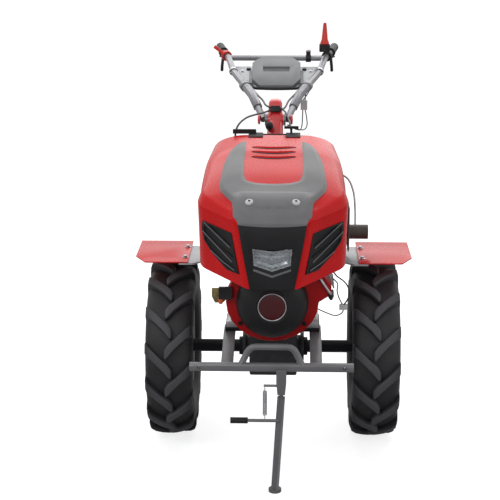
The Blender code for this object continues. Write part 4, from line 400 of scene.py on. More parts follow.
def joined(pieces):
    """Several pieces as one."""
    bpy.ops.object.select_all(action="DESELECT")
    for piece in pieces:
        piece.select_set(True)
    bpy.context.view_layer.objects.active = pieces[0]
    if len(pieces) > 1:
        bpy.ops.object.join()
    return bpy.context.active_object


def copied(piece, place):
    """A copy of a piece with its own mesh, moved and turned by a matrix."""
    other = piece.copy()
    other.data = piece.data.copy()
    bpy.context.scene.collection.objects.link(other)
    other.matrix_world = place @ piece.matrix_world
    return other


def done(piece, name, material, body, angle=30):
    """Name a finished piece, give it its material and hang it on its body, if it has only one."""
    settle_now(piece)
    piece.name = name
    piece.data.name = name
    piece.data.materials.clear()
    piece.data.materials.append(material)
    alone(piece)
    bpy.ops.object.shade_smooth_by_angle(angle=math.radians(angle))
    if body:
        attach(piece, body)
    return piece


def towards(direction, place):
    """A matrix that turns +Z to a direction and moves to a place."""
    turn = Vector(direction).to_track_quat("Z", "Y").to_matrix().to_4x4()
    return Matrix.Translation(place) @ turn


def curve_point(points, i, t):
    """A point of the smooth curve through the points, at a share of span i."""
    before, here = points[max(i - 1, 0)], points[i]
    after, beyond = points[i + 1], points[min(i + 2, len(points) - 1)]
    return (
        2 * here
        + (after - before) * t
        + (2 * before - 5 * here + 4 * after - beyond) * t**2
        + (3 * here - before - 3 * after + beyond) * t**3
    ) / 2


def smooth_line(places, parts):
    """A smooth curve through the places, each span cut into parts."""
    points = [Vector(place) for place in places]
    made = []
    for i in range(len(points) - 1):
        made += [curve_point(points, i, part / parts) for part in range(parts)]
    return made + [points[-1]]


def wire(points, radius, resolution=3):
    """A round bar or cord along a line of points, with closed ends."""
    curve = bpy.data.curves.new("wire", "CURVE")
    curve.dimensions = "3D"
    curve.bevel_depth = radius
    curve.bevel_resolution = resolution
    curve.use_fill_caps = True
    spline = curve.splines.new("POLY")
    spline.points.add(len(points) - 1)
    for point, place in zip(spline.points, points):
        point.co = (*place, 1)
    alone(linked("wire", curve))
    bpy.ops.object.convert(target="MESH")
    return bpy.context.active_object


def mesh_piece(name, points, faces, edges=()):
    mesh = bpy.data.meshes.new(name)
    mesh.from_pydata([tuple(point) for point in points], edges, faces)
    return linked(name, mesh)


def sheet(name, rows):
    """Four-sided faces through rows of points."""
    wide = len(rows[0])
    faces = []
    for i in range(len(rows) - 1):
        for a in range(i * wide, (i + 1) * wide - 1):
            faces.append((a, a + 1, a + wide + 1, a + wide))
    return mesh_piece(name, [point for row in rows for point in row], faces)


def net(rows):
    """A thin sheet through rows of points, its outer side up."""
    piece = sheet("net", rows)
    turned_to(piece, UP)
    modify(piece, "SOLIDIFY", thickness=0.0003, offset=-1)
    return piece


def spun(profile, steps=32):
    """A profile of (radius, height) points turned about +Z, made with the spin operator."""
    edges = [(i, i + 1) for i in range(len(profile) - 1)]
    piece = mesh_piece("spun", [(radius, 0, height) for radius, height in profile], [], edges)
    edit(piece)
    bpy.ops.mesh.select_all(action="SELECT")
    bpy.ops.mesh.spin(
        steps=steps, angle=math.tau, center=(0, 0, 0), axis=(0, 0, 1), use_auto_merge=True
    )
    clean(0.00002)
    leave()
    return piece


def block(place, size, edge, panels, segments=2):
    """A small block with rounded edges and shallow panels."""
    made = start("cube", size=1, location=at(*place), scale=size)
    settle_now(made)
    panelled(made, panels)
    bevelled(made, edge, segments)
    return made


def plain_block(place, size, edge):
    """A small block with one panel in its front, as deep as its size allows."""
    return block(place, size, edge, ((FRONT, min(size) * 0.18, -min(size) * 0.06),))


def bolt(size):
    """A hexagon bolt head with its washer, standing on the origin along +Z."""
    head = start("cylinder", vertices=6, radius=size, depth=size * 0.8)
    head.location.z = size * 0.65
    panelled(head, ((UP, size * 0.18, size * 0.08),))
    ring = start("cylinder", vertices=20, radius=size * 1.5, depth=size * 0.25)
    ring.location.z = size * 0.125
    bevelled(ring, size * 0.06, 1)
    return joined([head, ring])


def tree_of(piece):
    """A search tree of a piece's surface at rest."""
    return BVHTree.FromObject(piece, bpy.context.evaluated_depsgraph_get())


def spot_on(node, start_place, way):
    """Where a line from a place meets a CAD node, and the surface's direction there."""
    spot, normal, _, _ = tree_of(frame["nodes"][node]).ray_cast(start_place, Vector(way))
    if spot is None:
        raise RuntimeError(f"{node} is not met from {tuple(start_place)}")
    return spot, normal


def bolt_on(node, start_place, way, size):
    """A bolt head seated on a CAD node where a line from a place meets it."""
    spot, normal = spot_on(node, start_place, way)
    return placed(bolt(size), towards(normal, spot))


# Tyres

TYRE_RADIUS = 0.300
TYRE_HALF_WIDTH = 0.078
HALF_TRACK = 0.338
BEAD_RADIUS = 0.1555
LUG_HEIGHT = 0.022
LUG_WIDTH = 0.030
LUG_PAIRS = 14
LUG_PITCH = math.tau / LUG_PAIRS
# A lug starts beyond the tyre's middle and sweeps back by a share of the pitch
LUG_START = -0.008
LUG_SWEEP = 0.64
LUG_SWEEP_POWER = 0.9
# Its sides lean in from foot to top, and its top falls less than the crown below it
LUG_FOOT_SPREAD = 1.12
LUG_TOP_SPREAD = 0.88
LUG_FALL = 0.55
LUG_LEAST_HEIGHT = 0.004
# Columns: place between the start and the shoulder, width share, foot and top lowered by
LUG_STATIONS = (
    (-0.05, 0.86, 0.003, 0.005),
    (0.00, 1.32, 0.003, 0.001),
    (0.10, 1.46, 0.003, 0.000),
    (0.28, 1.26, 0.003, 0.000),
    (0.52, 1.22, 0.003, 0.000),
    (0.76, 1.30, 0.004, 0.000),
    (0.93, 1.40, 0.005, 0.002),
    (0.985, 1.44, 0.009, 0.014),
    (0.995, 1.36, 0.022, 0.034),
)
CARCASS = TYRE_RADIUS - LUG_HEIGHT
WALL = CARCASS - BEAD_RADIUS
# The section. Columns: height above the bead as a share of the wall, half width as a share.
TYRE_SECTION = (
    (0.00, 0.667),
    (0.05, 0.672),
    (0.14, 0.690),
    (0.17, 0.735),
    (0.30, 0.930),
    (0.52, 0.998),
    (0.76, 0.965),
    (0.88, 0.880),
    (0.95, 0.720),
    (0.99, 0.400),
    (1.00, 0.000),
)
# Height shares of the thin lines that the mould leaves on the wall, and their height
MOULD_LINES = (0.24, 0.28, 0.62, 0.66)
MOULD_LINE = 0.0009
HUB_BOLTS = 5
HUB_BOLT_CIRCLE = 0.040


def lug_top_painted_highlight(made, foot, crown, code):
    """Blend a paler tone into a tyre's rubber from the lugs' feet out to their tops, as a painted
    highlight on the lugs.
    """
    tree = made.node_tree
    base = tree.nodes["Principled BSDF"].inputs["Base Color"]
    rubber = base.links[0].from_socket
    axle = {0: add(tree, "TexCoord").outputs["Object"], 1: (0, -AXLE_Y, -TYRE_RADIUS)}
    from_axle = add(tree, "VectorMath", axle, operation="ADD").outputs[0]
    flat = add(tree, "VectorMath", {0: from_axle, 1: (0, 1, 1)}, operation="MULTIPLY").outputs[0]
    radius = add(tree, "VectorMath", {0: flat}, operation="LENGTH").outputs["Value"]
    share = add(tree, "MapRange", {"Value": radius, "From Min": foot, "From Max": crown})
    tones = {"Fac": share.outputs["Result"], "Color1": rubber, "Color2": linear(code)}
    tree.links.new(add(tree, "MixRGB", tones).outputs[0], base)


def tyre_carcass():
    side = smooth_line(
        [(BEAD_RADIUS + WALL * up, 0, TYRE_HALF_WIDTH * out) for up, out in TYRE_SECTION], 4
    )
    for share in MOULD_LINES:
        near = min(side, key=lambda point: abs(point.x - BEAD_RADIUS - WALL * share))
        near.z += MOULD_LINE
    profile = [(point.x, min(point.z, TYRE_HALF_WIDTH)) for point in side]
    profile += [(radius, -across) for radius, across in profile[-2::-1]]
    profile.append(profile[0])
    return spun(profile, 96)


def crown_radius(across):
    return CARCASS - WALL * 0.20 * (abs(across) / TYRE_HALF_WIDTH) ** 3


def tread_lug():
    """One lug of the +Z side: a bar that sweeps back from the middle and over the shoulder."""
    points = []
    for place, width, foot_drop, top_drop in LUG_STATIONS:
        across = LUG_START + (TYRE_HALF_WIDTH - LUG_START) * place
        angle = -LUG_PITCH * LUG_SWEEP * max(place, 0) ** LUG_SWEEP_POWER
        drop = crown_radius(0) - crown_radius(across)
        top = TYRE_RADIUS - drop * LUG_FALL - top_drop
        foot = min(crown_radius(across) - foot_drop, top - LUG_LEAST_HEIGHT)
        spread = LUG_WIDTH * width / 2
        for radius, share in (
            (foot, -LUG_FOOT_SPREAD),
            (foot, LUG_FOOT_SPREAD),
            (top, LUG_TOP_SPREAD),
            (top, -LUG_TOP_SPREAD),
        ):
            swing = angle + share * spread / TYRE_RADIUS
            points.append((radius * math.cos(swing), radius * math.sin(swing), across))
    faces = [(0, 1, 2, 3), tuple(len(points) - 4 + k for k in (3, 2, 1, 0))]
    for i in range(0, len(points) - 4, 4):
        for k in range(4):
            a, b = i + k, i + (k + 1) % 4
            faces.append((a, a + 4, b + 4, b))
    lug = mesh_piece("lug", points, faces)
    cleaned(lug)
    bevelled(lug, 0.0030, 3, 28)
    return lug


def make_tyres():
    # the lug tops are painted paler: a painted highlight
    lug_top_painted_highlight(
        TYRE_RUBBER, TYRE_RADIUS - 0.8 * LUG_HEIGHT, TYRE_RADIUS - 0.1 * LUG_HEIGHT, "#4F4E51"
    )
    lug = tread_lug()
    pieces = [tyre_carcass()]
    mirror = Matrix.Diagonal((1, 1, -1, 1))
    for number in range(LUG_PAIRS):
        pieces.append(copied(lug, Matrix.Rotation(number * LUG_PITCH, 4, "Z")))
        other = copied(lug, Matrix.Rotation((number + 0.5) * LUG_PITCH, 4, "Z") @ mirror)
        settle(other)
        other.data.flip_normals()
        pieces.append(other)
    bpy.context.view_layer.update()
    for piece in pieces:
        settle(piece)
    bpy.data.objects.remove(lug, do_unlink=True)
    tyre = joined(pieces)
    # the section's axis becomes the axle, and the radius that pointed along +X points up
    lay = Matrix(((0, 0, 1, 0), (0, -1, 0, 0), (1, 0, 0, 0), (0, 0, 0, 1)))
    for side, sign in SIDES:
        other = copied(tyre, Matrix.Identity(4))
        other.data.transform(Matrix.Translation(at(sign * HALF_TRACK, 0, TYRE_RADIUS)) @ lay)
        cleaned(other)
        done(other, f"tyre_{side}_tread", TYRE_RUBBER, f"wheel_{side}", 35)
        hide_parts(f"tyre_{side}")
    bpy.data.objects.remove(tyre, do_unlink=True)


def make_wheel_bolts():
    """Bolts round the middle of each wheel's disc."""
    for side, sign in SIDES:
        heads = []
        for number in range(HUB_BOLTS):
            turn = math.tau * (number + 0.5) / HUB_BOLTS
            along, up = HUB_BOLT_CIRCLE * math.sin(turn), HUB_BOLT_CIRCLE * math.cos(turn)
            place = at(sign * BESIDE_X, along, TYRE_RADIUS + up)
            heads.append(bolt_on(f"axle_{side}", place, (-sign, 0, 0), 0.0075))
        done(joined(heads), f"hub_bolts_{side}", BRIGHT_ZINC, f"wheel_{side}")


# Springs, cables and leads


def coil(bottom, top, radius, wire_radius, turns):
    """A close-wound tension spring between two places."""
    steps = 14
    axis = top - bottom
    turn = towards(axis, bottom)
    points = []
    for step in range(turns * steps + 1):
        angle = math.tau * step / steps
        height = axis.length * step / (turns * steps)
        points.append(turn @ Vector((radius * math.cos(angle), radius * math.sin(angle), height)))
    return wire(points, wire_radius, 1)


def make_stand_spring():
    top, bottom = at(-0.020, -0.526, 0.3465), at(-0.020, -0.526, 0.2445)
    spring = joined(
        [
            coil(bottom.lerp(top, 0.12), bottom.lerp(top, 0.88), 0.0055, 0.0013, 22),
            wire([bottom, bottom.lerp(top, 0.13)], 0.0014),
            wire([bottom.lerp(top, 0.87), top], 0.0014),
        ]
    )
    done(spring, "stand_spring_coil", BRIGHT_ZINC, None, 60)
    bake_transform(spring)
    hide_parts("stand_spring")


CABLE_RADIUS = 0.0033
LEAD_RADIUS = 0.0020
# Columns: name, body at its first end, body at its last end, its line from end to end
CABLES = (
    ("cable_a_upper", "column", "handlebar", (
        (-0.0173, 0.296, 1.073), (-0.034, 0.322, 1.077), (-0.046, 0.376, 1.086),
        (-0.066, 0.436, 1.096), (-0.089, 0.494, 1.113),
    )),
    ("cable_a_lower", "chassis", "column", (
        (0.058, 0.098, 0.661), (0.058, 0.098, 0.700), (0.060, 0.098, 0.820),
        (0.058, 0.100, 0.950), (0.055, 0.130, 1.020), (0.047, 0.195, 1.048),
        (0.034, 0.262, 1.064), (0.0173, 0.296, 1.073),
    )),
    ("cable_b_upper", "column", "handlebar", (
        (0.0173, 0.290, 1.064), (0.034, 0.320, 1.070), (0.046, 0.376, 1.084),
        (0.066, 0.436, 1.096), (0.089, 0.494, 1.113),
    )),
    ("cable_b_lower", "chassis", "column", (
        (-0.050, 0.095, 0.661), (-0.050, 0.095, 0.690), (-0.062, 0.095, 0.750),
        (-0.106, 0.095, 0.860), (-0.130, 0.098, 0.975), (-0.128, 0.112, 1.032),
        (-0.097, 0.170, 1.058), (-0.042, 0.250, 1.062), (-0.0173, 0.290, 1.064),
    )),
)


def cord_line(places, parts=6):
    return smooth_line([at(*place) for place in places], parts)


def make_cables():
    """Sheathed control cables from the levers over the column's clip to the case."""
    for name, first, last, places in CABLES:
        points = cord_line(places)
        piece = wire(points, CABLE_RADIUS)
        done(piece, f"{name}_sheath", SHEATH, None, 60)
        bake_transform(piece)
        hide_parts(name)


def make_lead(name, places, radius, body, material=SHEATH, last=None):
    """A short lead between two fixings, hung on one body, or on none when it runs on to a last one.
    """
    points = cord_line(places)
    piece = wire(points, radius, 2)
    done(piece, name, material, None if last else body, 60)
    if last:
        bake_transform(piece)


# Headlamp, mask and grilles

# Half outline of the lamp and of the trim below it. Columns: across, height.
LAMP_OUTLINE = ((0.0, 0.7590), (0.0600, 0.7665), (0.0560, 0.7160), (0.0, 0.6975))
TRIM_OUTLINE = ((0.0570, 0.7060), (0.0, 0.6855), (0.0, 0.6785), (0.0575, 0.6990))
GRILLE_LINES = (
    ((0.2110, 0.8211), (0.1268, 0.7613)),
    ((0.2150, 0.7921), (0.1214, 0.7175)),
    ((0.1880, 0.7360), (0.1480, 0.7090), (0.1130, 0.6925)),
)
# The reflector's steps from its rim inwards. Columns: width, depth.
BOWL_STEPS = ((0.004, 0.0), (0.004, -0.008), (0.009, -0.005), (0.004, 0.003))
BULB_PROFILE = (
    (0, 0.018),
    (0.0035, 0.0165),
    (0.0055, 0.012),
    (0.005, 0.006),
    (0.0075, 0.003),
    (0.0075, 0),
    (0, 0),
)


def make_headlamp():
    lower, upper = at(0, -0.4715, 0.69), at(0, -0.4660, 0.77)

    def face_place(x, z, lift):
        """A place on the lamp's sloping face, lifted off it."""
        share = (z - lower.z) / (upper.z - lower.z)
        return Vector((x, lower.y + (upper.y - lower.y) * share - lift, z))

    outline = [*LAMP_OUTLINE, *[(-x, z) for x, z in LAMP_OUTLINE[2:0:-1]]]
    whole = [tuple(range(len(outline)))]
    bowl = mesh_piece("bowl", [face_place(x, z, -0.0015) for x, z in outline], whole)
    edit(bowl)
    clean()
    for thickness, depth in BOWL_STEPS:
        bpy.ops.mesh.inset(thickness=thickness, depth=depth)
    leave()
    cover = mesh_piece("cover", [face_place(x * 0.985, z, 0.0004) for x, z in outline], whole)
    for piece, name, material, wall, edge in (
        (bowl, "headlamp_reflector", CHROME, 0.0012, 0.0005),
        (cover, "headlamp_cover", LENS, 0.0016, 0.0006),
    ):
        turned_to(piece, FRONT)
        modify(piece, "SOLIDIFY", thickness=wall, offset=-1)
        bevelled(piece, edge)
        done(piece, name, material, "bonnet", 20)
    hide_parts("headlamp")
    bulb = placed(spun(BULB_PROFILE, 24), towards((0, -1, 0.05), face_place(0, 0.737, -0.0175)))
    done(bulb, "headlamp_bulb", WHITE_NYLON, "bonnet", 40)
    half = [face_place(x, z, 0.0) for x, z in TRIM_OUTLINE]
    other = [Vector((-point.x, *point.yz)) for point in half]
    trim = mesh_piece("trim", half + other, [(0, 1, 2, 3), (4, 7, 6, 5)])
    cleaned(trim, 0.0001)
    turned_to(trim, FRONT)
    modify(trim, "SOLIDIFY", thickness=0.003, offset=0)
    bevelled(trim, 0.0007)
    done(trim, "headlamp_trim", GREY_TRIM, "bonnet", 30)


def make_grille_lines(tree):
    """Pale strips along the grille's blades: painted highlights on their edges."""
    strips = []
    for sign in (1, -1):
        for places in GRILLE_LINES:
            corners = [Vector((sign * x, 0, z)) for x, z in places]
            line = []
            for a, b in zip(corners, corners[1:]):
                line += [a.lerp(b, step / 8) for step in range(9)]
            spots = []
            for place in line:
                spot, normal, _, _ = tree.ray_cast(at(place.x, AHEAD_Y, place.z), BACK)
                spots.append(spot + normal * 0.0035)
            strips.append(wire(spots, 0.0016, 2))
    done(joined(strips), "grille_blade_highlights", GREY_TRIM, "bonnet", 50)


# Engine fittings

BADGE_Z = 0.575
SURROUND_PROFILE = (
    (0.0460, 0),
    (0.0480, 0.0016),
    (0.0520, 0.0016),
    (0.0535, 0),
    (0.0460, 0),
)
BLOWER_BOLT_CIRCLE = 0.1215
BOOT_PROFILE = (
    (0, 0),
    (0.0055, 0),
    (0.0078, 0.004),
    (0.0082, 0.014),
    (0.0068, 0.020),
    (0.0052, 0.026),
    (0, 0.026),
)
# A bright sleeve over the blower's arm
PLUG_LEAD = (
    (0.148, -0.3860, 0.652), (0.156, -0.3905, 0.640), (0.168, -0.3905, 0.622),
    (0.179, -0.3890, 0.605), (0.186, -0.378, 0.592), (0.189, -0.350, 0.588),
    (0.189, -0.303, 0.590),
)
# Columns: name, radius, its line from end to end
ENGINE_LEADS = (
    ("coil_lead", 0.0024, (
        (0.190, -0.250, 0.640), (0.204, -0.252, 0.622), (0.226, -0.254, 0.606),
        (0.241, -0.254, 0.584), (0.243, -0.254, 0.556), (0.232, -0.252, 0.533),
        (0.2270, -0.252, 0.527),
    )),
    ("sensor_lead", LEAD_RADIUS, (
        (0.190, -0.262, 0.618), (0.206, -0.262, 0.600), (0.205, -0.260, 0.575),
        (0.212, -0.256, 0.550), (0.222, -0.253, 0.530),
    )),
    ("earth_lead", LEAD_RADIUS, (
        (0.2270, -0.250, 0.512), (0.221, -0.250, 0.498), (0.200, -0.250, 0.490),
        (0.170, -0.250, 0.500), (0.144, -0.250, 0.512),
    )),
)
OIL_CAP_PROFILE = (
    (0, -0.001),
    (0.0165, -0.001),
    (0.0165, 0.0030),
    (0.0120, 0.0040),
    (0.0120, 0.0130),
    (0.0095, 0.0155),
    (0, 0.0155),
)


def make_engine_details():
    ring = start(
        "torus", major_radius=0.0430, minor_radius=0.0018, major_segments=64, minor_segments=12
    )
    placed(ring, towards(FRONT, at(0, -0.4404, BADGE_Z)))
    done(ring, "badge_ring", BRIGHT_ZINC, "chassis", 60)
    # dished ring between the badge and the cover's rounded shoulder
    step = placed(spun(SURROUND_PROFILE, 72), towards(FRONT, at(0, -0.4401, BADGE_Z)))
    done(step, "badge_surround", BLACK_ABS, "chassis", 30)
    heads = []
    for turn in (35, 145, 215, 325):
        across = BLOWER_BOLT_CIRCLE * math.cos(math.radians(turn))
        up = BLOWER_BOLT_CIRCLE * math.sin(math.radians(turn))
        heads.append(bolt_on("blower_housing", at(across, AHEAD_Y, BADGE_Z + up), BACK, 0.0048))
    done(joined(heads), "blower_bolts", BLACK_ENAMEL, "chassis")
    panels = ((FRONT, 0.004, -0.0015),)
    box = block((-0.1450, -0.3935, 0.606), (0.042, 0.017, 0.038), 0.0015, panels, 3)
    done(box, "ignition_box", BLACK_ABS, "chassis")
    place = at(-0.1600, -0.3935, 0.5815)
    tap = start("cylinder", vertices=24, radius=0.008, depth=0.012, location=place)
    settle_now(tap)
    edit(tap)
    choose(tap, facing(DOWN))
    bpy.ops.mesh.inset(thickness=0.002)
    bpy.ops.mesh.extrude_region_move(TRANSFORM_OT_translate={"value": (0, 0, -0.004)})
    leave()
    bevelled(tap, 0.0008)
    done(tap, "fuel_tap", ORANGE_ABS, "chassis")
    make_lead("plug_lead", PLUG_LEAD, 0.0040, "chassis", BRAID)
    boot = placed(spun(BOOT_PROFILE, 28), towards((0.12, 0.55, -0.75), at(0.1795, -0.388, 0.604)))
    done(boot, "plug_boot", GRIP_RUBBER, "chassis", 40)
    for name, radius, places in ENGINE_LEADS:
        make_lead(name, places, radius, "chassis")
    panels = ((UP, 0.0025, -0.002), (FRONT, 0.004, 0.0012))
    plug = block((0.2260, -0.252, 0.5200), (0.026, 0.012, 0.018), 0.0010, panels)
    done(plug, "lead_connector", WHITE_NYLON, "chassis")


def make_case_details():
    """Oil caps and drain plugs of the engine, and the gear case's rear cover."""
    caps, plugs = [], []
    for sign in (1, -1):
        way = (-sign, 0, 0)
        spot, normal = spot_on("crankcase", at(sign * 0.40, -0.150, 0.522), way)
        caps.append(placed(spun(OIL_CAP_PROFILE, 24), towards(normal, spot)))
        plugs.append(bolt_on("crankcase", at(sign * 0.40, -0.225, 0.503), way, 0.0075))
    done(joined(caps), "oil_caps", BLACK_ABS, "chassis")
    done(joined(plugs), "drain_plugs", BRIGHT_ZINC, "chassis")
    spot, _ = spot_on("transmission_case", at(0, 0.60, 0.520), FRONT)
    cover = plain_block((0, spot.y - AXLE_Y + 0.0018, 0.520), (0.086, 0.006, 0.150), 0.0020)
    done(cover, "case_cover", CAST_IRON, "chassis")
    heads = []
    for sign in (1, -1):
        for z in (0.455, 0.520, 0.585):
            place = Vector((sign * 0.036, spot.y + 0.0046, z))
            heads.append(placed(bolt(0.0055), towards(BACK, place)))
    done(joined(heads), "case_cover_bolts", BRIGHT_ZINC, "chassis")


# Rounded edges

def softened(node, width=0.0008, angle=40):
    """A CAD node with its flat faces joined, its hard edges rounded and its curves smooth."""
    source = frame["nodes"][node]
    material, slot = SLOT_OF[node]
    piece = copied(source, Matrix.Identity(4))
    piece.parent = None
    piece.matrix_world = Matrix.Identity(4)
    edit(piece)
    bpy.ops.mesh.select_all(action="SELECT")
    bpy.ops.mesh.remove_doubles(threshold=0.00002)
    bpy.ops.mesh.dissolve_limited(angle_limit=math.radians(0.4))
    leave()
    if width:
        bevelled(piece, width, 2, angle)
    body = next(name for name, empty in frame["bodies"].items() if empty == source.parent)
    done(piece, f"{node}_surface", material, body, angle)
    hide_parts(node)


# Columns: edge radius and the nodes that get it
EDGE_RADII = (
    (0.0000, "rim_left rim_right stand_leg handlebar_frame column_knob gear_lever cylinder"),
    (0.0005, "grille_left grille_right stand_bracket lever_bracket cable_clip throttle_bracket"),
    (0.0008, "mudguard_left mudguard_right mudguard_carrier console_plate front_mask front_bumper"),
    (0.0008, "bonnet_hinge_left bonnet_hinge_right bonnet_support engine_frame rear_hitch"),
    (0.0010, "recoil_badge stand_grip grip_left grip_right arm_sleeve_left arm_sleeve_right"),
    (0.0010, "throttle_lever carburettor axle_left axle_right muffler bar_knob"),
    (0.0020, "console crankcase clutch_housing steering_column blower_housing recoil_cover"),
    (0.0030, "transmission_case air_cleaner fuel_tank"),
)


def soften_nodes():
    for width, names in EDGE_RADII:
        for name in names.split():
            softened(name, width)


# Handlebar fittings

# Right half of the console's lower rim
CONSOLE_RIM = (
    (0.0, 0.5105, 1.106), (0.060, 0.5125, 1.107), (0.078, 0.520, 1.108), (0.090, 0.545, 1.114),
)
# Columns: a clamp's lower place and its upper one, on the left arm
ARM_CLAMPS = (
    ((0.113, 0.503, 1.119), (0.119, 0.518, 1.124)),
    ((0.158, 0.620, 1.152), (0.162, 0.638, 1.158)),
)
CLAMP_PROFILE = (
    (0.0128, 0),
    (0.0150, 0),
    (0.0156, 0.001),
    (0.0156, 0.009),
    (0.0150, 0.010),
    (0.0128, 0.010),
    (0.0128, 0),
)
PIN_Y, PIN_Z = 0.300, 1.030
PIN_COVER_PROFILE = ((0, 0), (0.0170, 0), (0.0170, 0.006), (0.0150, 0.008), (0, 0.009))
HAND_LEVER_END = (
    (0.2045, 0.812, 1.190), (0.2065, 0.800, 1.170), (0.2085, 0.795, 1.150), (0.2095, 0.800, 1.132),
)
KNOB_CAP_PROFILE = (
    (0, 0),
    (0.0075, 0),
    (0.0088, 0.003),
    (0.0082, 0.007),
    (0.0055, 0.0095),
    (0, 0.0102),
)


def make_console_details():
    """The console's recess, darkened by a sheet of painted shade, its black lower rim, and its
    plate's bolts and stops.
    """
    # a darker sheet over the recess: painted shade
    rows = []
    for step in range(17):
        x = -0.047 + 0.094 * step / 16
        row = []
        for cut in range(5):
            place = at(x, 0.606 + 0.027 * cut / 4, ABOVE_Z)
            spot, normal = spot_on("console", place, DOWN)
            row.append(spot + normal * 0.0007)
        rows.append(row)
    done(net(rows), "console_recess", SHADOW_ABS, "handlebar")
    rim = cord_line([*((-x, y, z) for x, y, z in CONSOLE_RIM[:0:-1]), *CONSOLE_RIM])
    done(wire(rim, 0.0052), "console_rim", BLACK_ABS, "handlebar", 60)
    heads, stops = [], []
    for sign in (1, -1):
        for x, y in ((0.1265, 0.660), (0.113, 0.560)):
            heads.append(bolt_on("console_plate", at(sign * x, y, ABOVE_Z), DOWN, 0.0050))
    done(joined(heads), "plate_bolts", BRIGHT_ZINC, "handlebar")
    for sign in (1, -1):
        place = (sign * 0.1033, 0.6845, 1.1500)
        stops.append(plain_block(place, (0.016, 0.027, 0.014), 0.001))
    done(joined(stops), "plate_stops", BLACK_ABS, "handlebar")


def make_arm_details():
    """Bright clamps above and below the arms' sleeves, pin covers and hand levers' ends."""
    bands, covers, tips = [], [], []
    for sign in (1, -1):
        for clamp in ARM_CLAMPS:
            a, b = [at(sign * x, y, z) for x, y, z in clamp]
            bands.append(placed(spun(CLAMP_PROFILE, 40), towards(b - a, a)))
    done(joined(bands), "arm_clamps", BRIGHT_ZINC, "handlebar")
    # red covers over the ends of the pin that the handlebar tilts on
    for sign in (1, -1):
        spot, _ = spot_on("handlebar_frame", at(sign * 0.30, PIN_Y, PIN_Z), (-sign, 0, 0))
        place = Vector((spot.x - sign * 0.0005, *at(0, PIN_Y, PIN_Z).yz))
        covers.append(placed(spun(PIN_COVER_PROFILE), towards((sign, 0, 0), place)))
    done(joined(covers), "pin_covers", COLUMN_RED, "handlebar")
    # black ends of the two hand levers, which hang below the bars
    for sign in (1, -1):
        line = cord_line([(sign * x, y, z) for x, y, z in HAND_LEVER_END], 5)
        tips.append(wire(line, 0.0058))
    done(joined(tips), "hand_lever_ends", BLACK_ABS, "handlebar", 60)
    cap = placed(spun(KNOB_CAP_PROFILE, 28), Matrix.Translation(at(0.119, 0.750, 1.2100)))
    done(cap, "bar_knob_cap", PALE_ABS, "handlebar", 60)


def make_console_leads():
    """Two leads from the console's plate into a white plug, and on from it to the column."""
    plug = plain_block((0.1010, 0.440, 1.059), (0.024, 0.014, 0.034), 0.0012)
    done(plug, "console_plug", WHITE_NYLON, "handlebar")
    for number, (top_x, foot) in enumerate(((0.122, 0.054), (0.114, 0.060))):
        pin_x = 0.097 + 0.008 * number
        above = (
            (top_x, 0.556, 1.118),
            (top_x + 0.002, 0.530, 1.108),
            (top_x - 0.006, 0.480, 1.096),
            (pin_x, 0.444, 1.075),
        )
        below = (
            (pin_x, 0.440, 1.043),
            (0.096 + 0.014 * number, 0.420, 1.022),
            (0.094 + 0.018 * number, 0.390, 0.994),
            (0.086 + 0.012 * number, 0.350, 0.985),
            (foot + 0.006, 0.305, 1.000),
            (foot - 0.012, 0.280, 1.015),
        )
        make_lead(f"console_lead_{number + 1}", above, LEAD_RADIUS, "handlebar")
        make_lead(f"plug_lead_{number + 1}", below, LEAD_RADIUS, "handlebar", last="column")


# Rear fittings and bolts

# A braided bright sleeve from the bonnet's rear round to the silencer's tail
SILENCER_CABLE = (
    (0.086, 0.066, 0.840), (0.130, 0.078, 0.868), (0.190, 0.076, 0.888), (0.240, 0.050, 0.880),
    (0.262, 0.010, 0.845), (0.268, -0.036, 0.795), (0.2680, -0.066, 0.744),
)
# Columns: name, node with a star for the side, way of the search on the left, size, and where
# the searches start on the left
BOLT_SEATS = (
    ("mudguard_bolts", "mudguard_*", DOWN, 0.0070, ((0.292, 0.050, 0.8), (0.292, -0.082, 0.8))),
    ("case_bolts", "transmission_case", (-1, 0, 0), 0.0060, (
        (0.3, 0.02, 0.60), (0.3, 0.10, 0.60), (0.3, 0.15, 0.50), (0.3, 0.15, 0.38),
    )),
)
# The way into the knobs on the bonnet's nose, a little below their domes' middles
BUTTON_WAY = Vector((0, 0.66, -0.75)).normalized()


def make_rear_details():
    guide = plain_block((-0.1000, 0.0660, 1.0300), (0.078, 0.010, 0.015), 0.0015)
    done(guide, "cable_guide", BLACK_ABS, "chassis")
    bar = plain_block((0.0560, 0.0780, 1.0420), (0.048, 0.008, 0.009), 0.0010)
    post = plain_block((0.0560, 0.0740, 1.0310), (0.007, 0.008, 0.026), 0.0010)
    done(joined([bar, post]), "cable_stop_bracket", BLACK_ABS, "chassis")
    # heat shield beside the bonnet, on the silencer's tail
    panels = (((1, 0, 0), 0.010, 0.002),)
    shield = block((0.2435, -0.0700, 0.7440), (0.004, 0.110, 0.150), 0.0012, panels)
    done(shield, "heat_shield", EXHAUST_BLACK, "chassis")
    make_lead("silencer_cable", SILENCER_CABLE, 0.0034, "chassis", BRAID)


def make_bolts():
    for name, node, (way_x, *way_yz), size, starts in BOLT_SEATS:
        for side, sign in SIDES:
            way = (sign * way_x, *way_yz)
            heads = [
                bolt_on(node.replace("*", side), at(sign * x, y, z), way, size)
                for x, y, z in starts
            ]
            done(joined(heads), f"{name}_{side}", BRIGHT_ZINC, "chassis")
    for side, sign in SIDES:
        front = at(sign * 0.0713, -0.4047, 0.8986) - BUTTON_WAY * 0.1
        spot, normal = spot_on(f"bonnet_button_{side}", front, BUTTON_WAY)
        screw = start("cylinder", vertices=20, radius=0.0040, depth=0.0012)
        panelled(screw, ((UP, 0.0010, -0.0005),))
        placed(screw, towards(normal, spot))
        done(screw, f"bonnet_button_screw_{side}", BLACK_ENAMEL, "bonnet")


# Bonnet

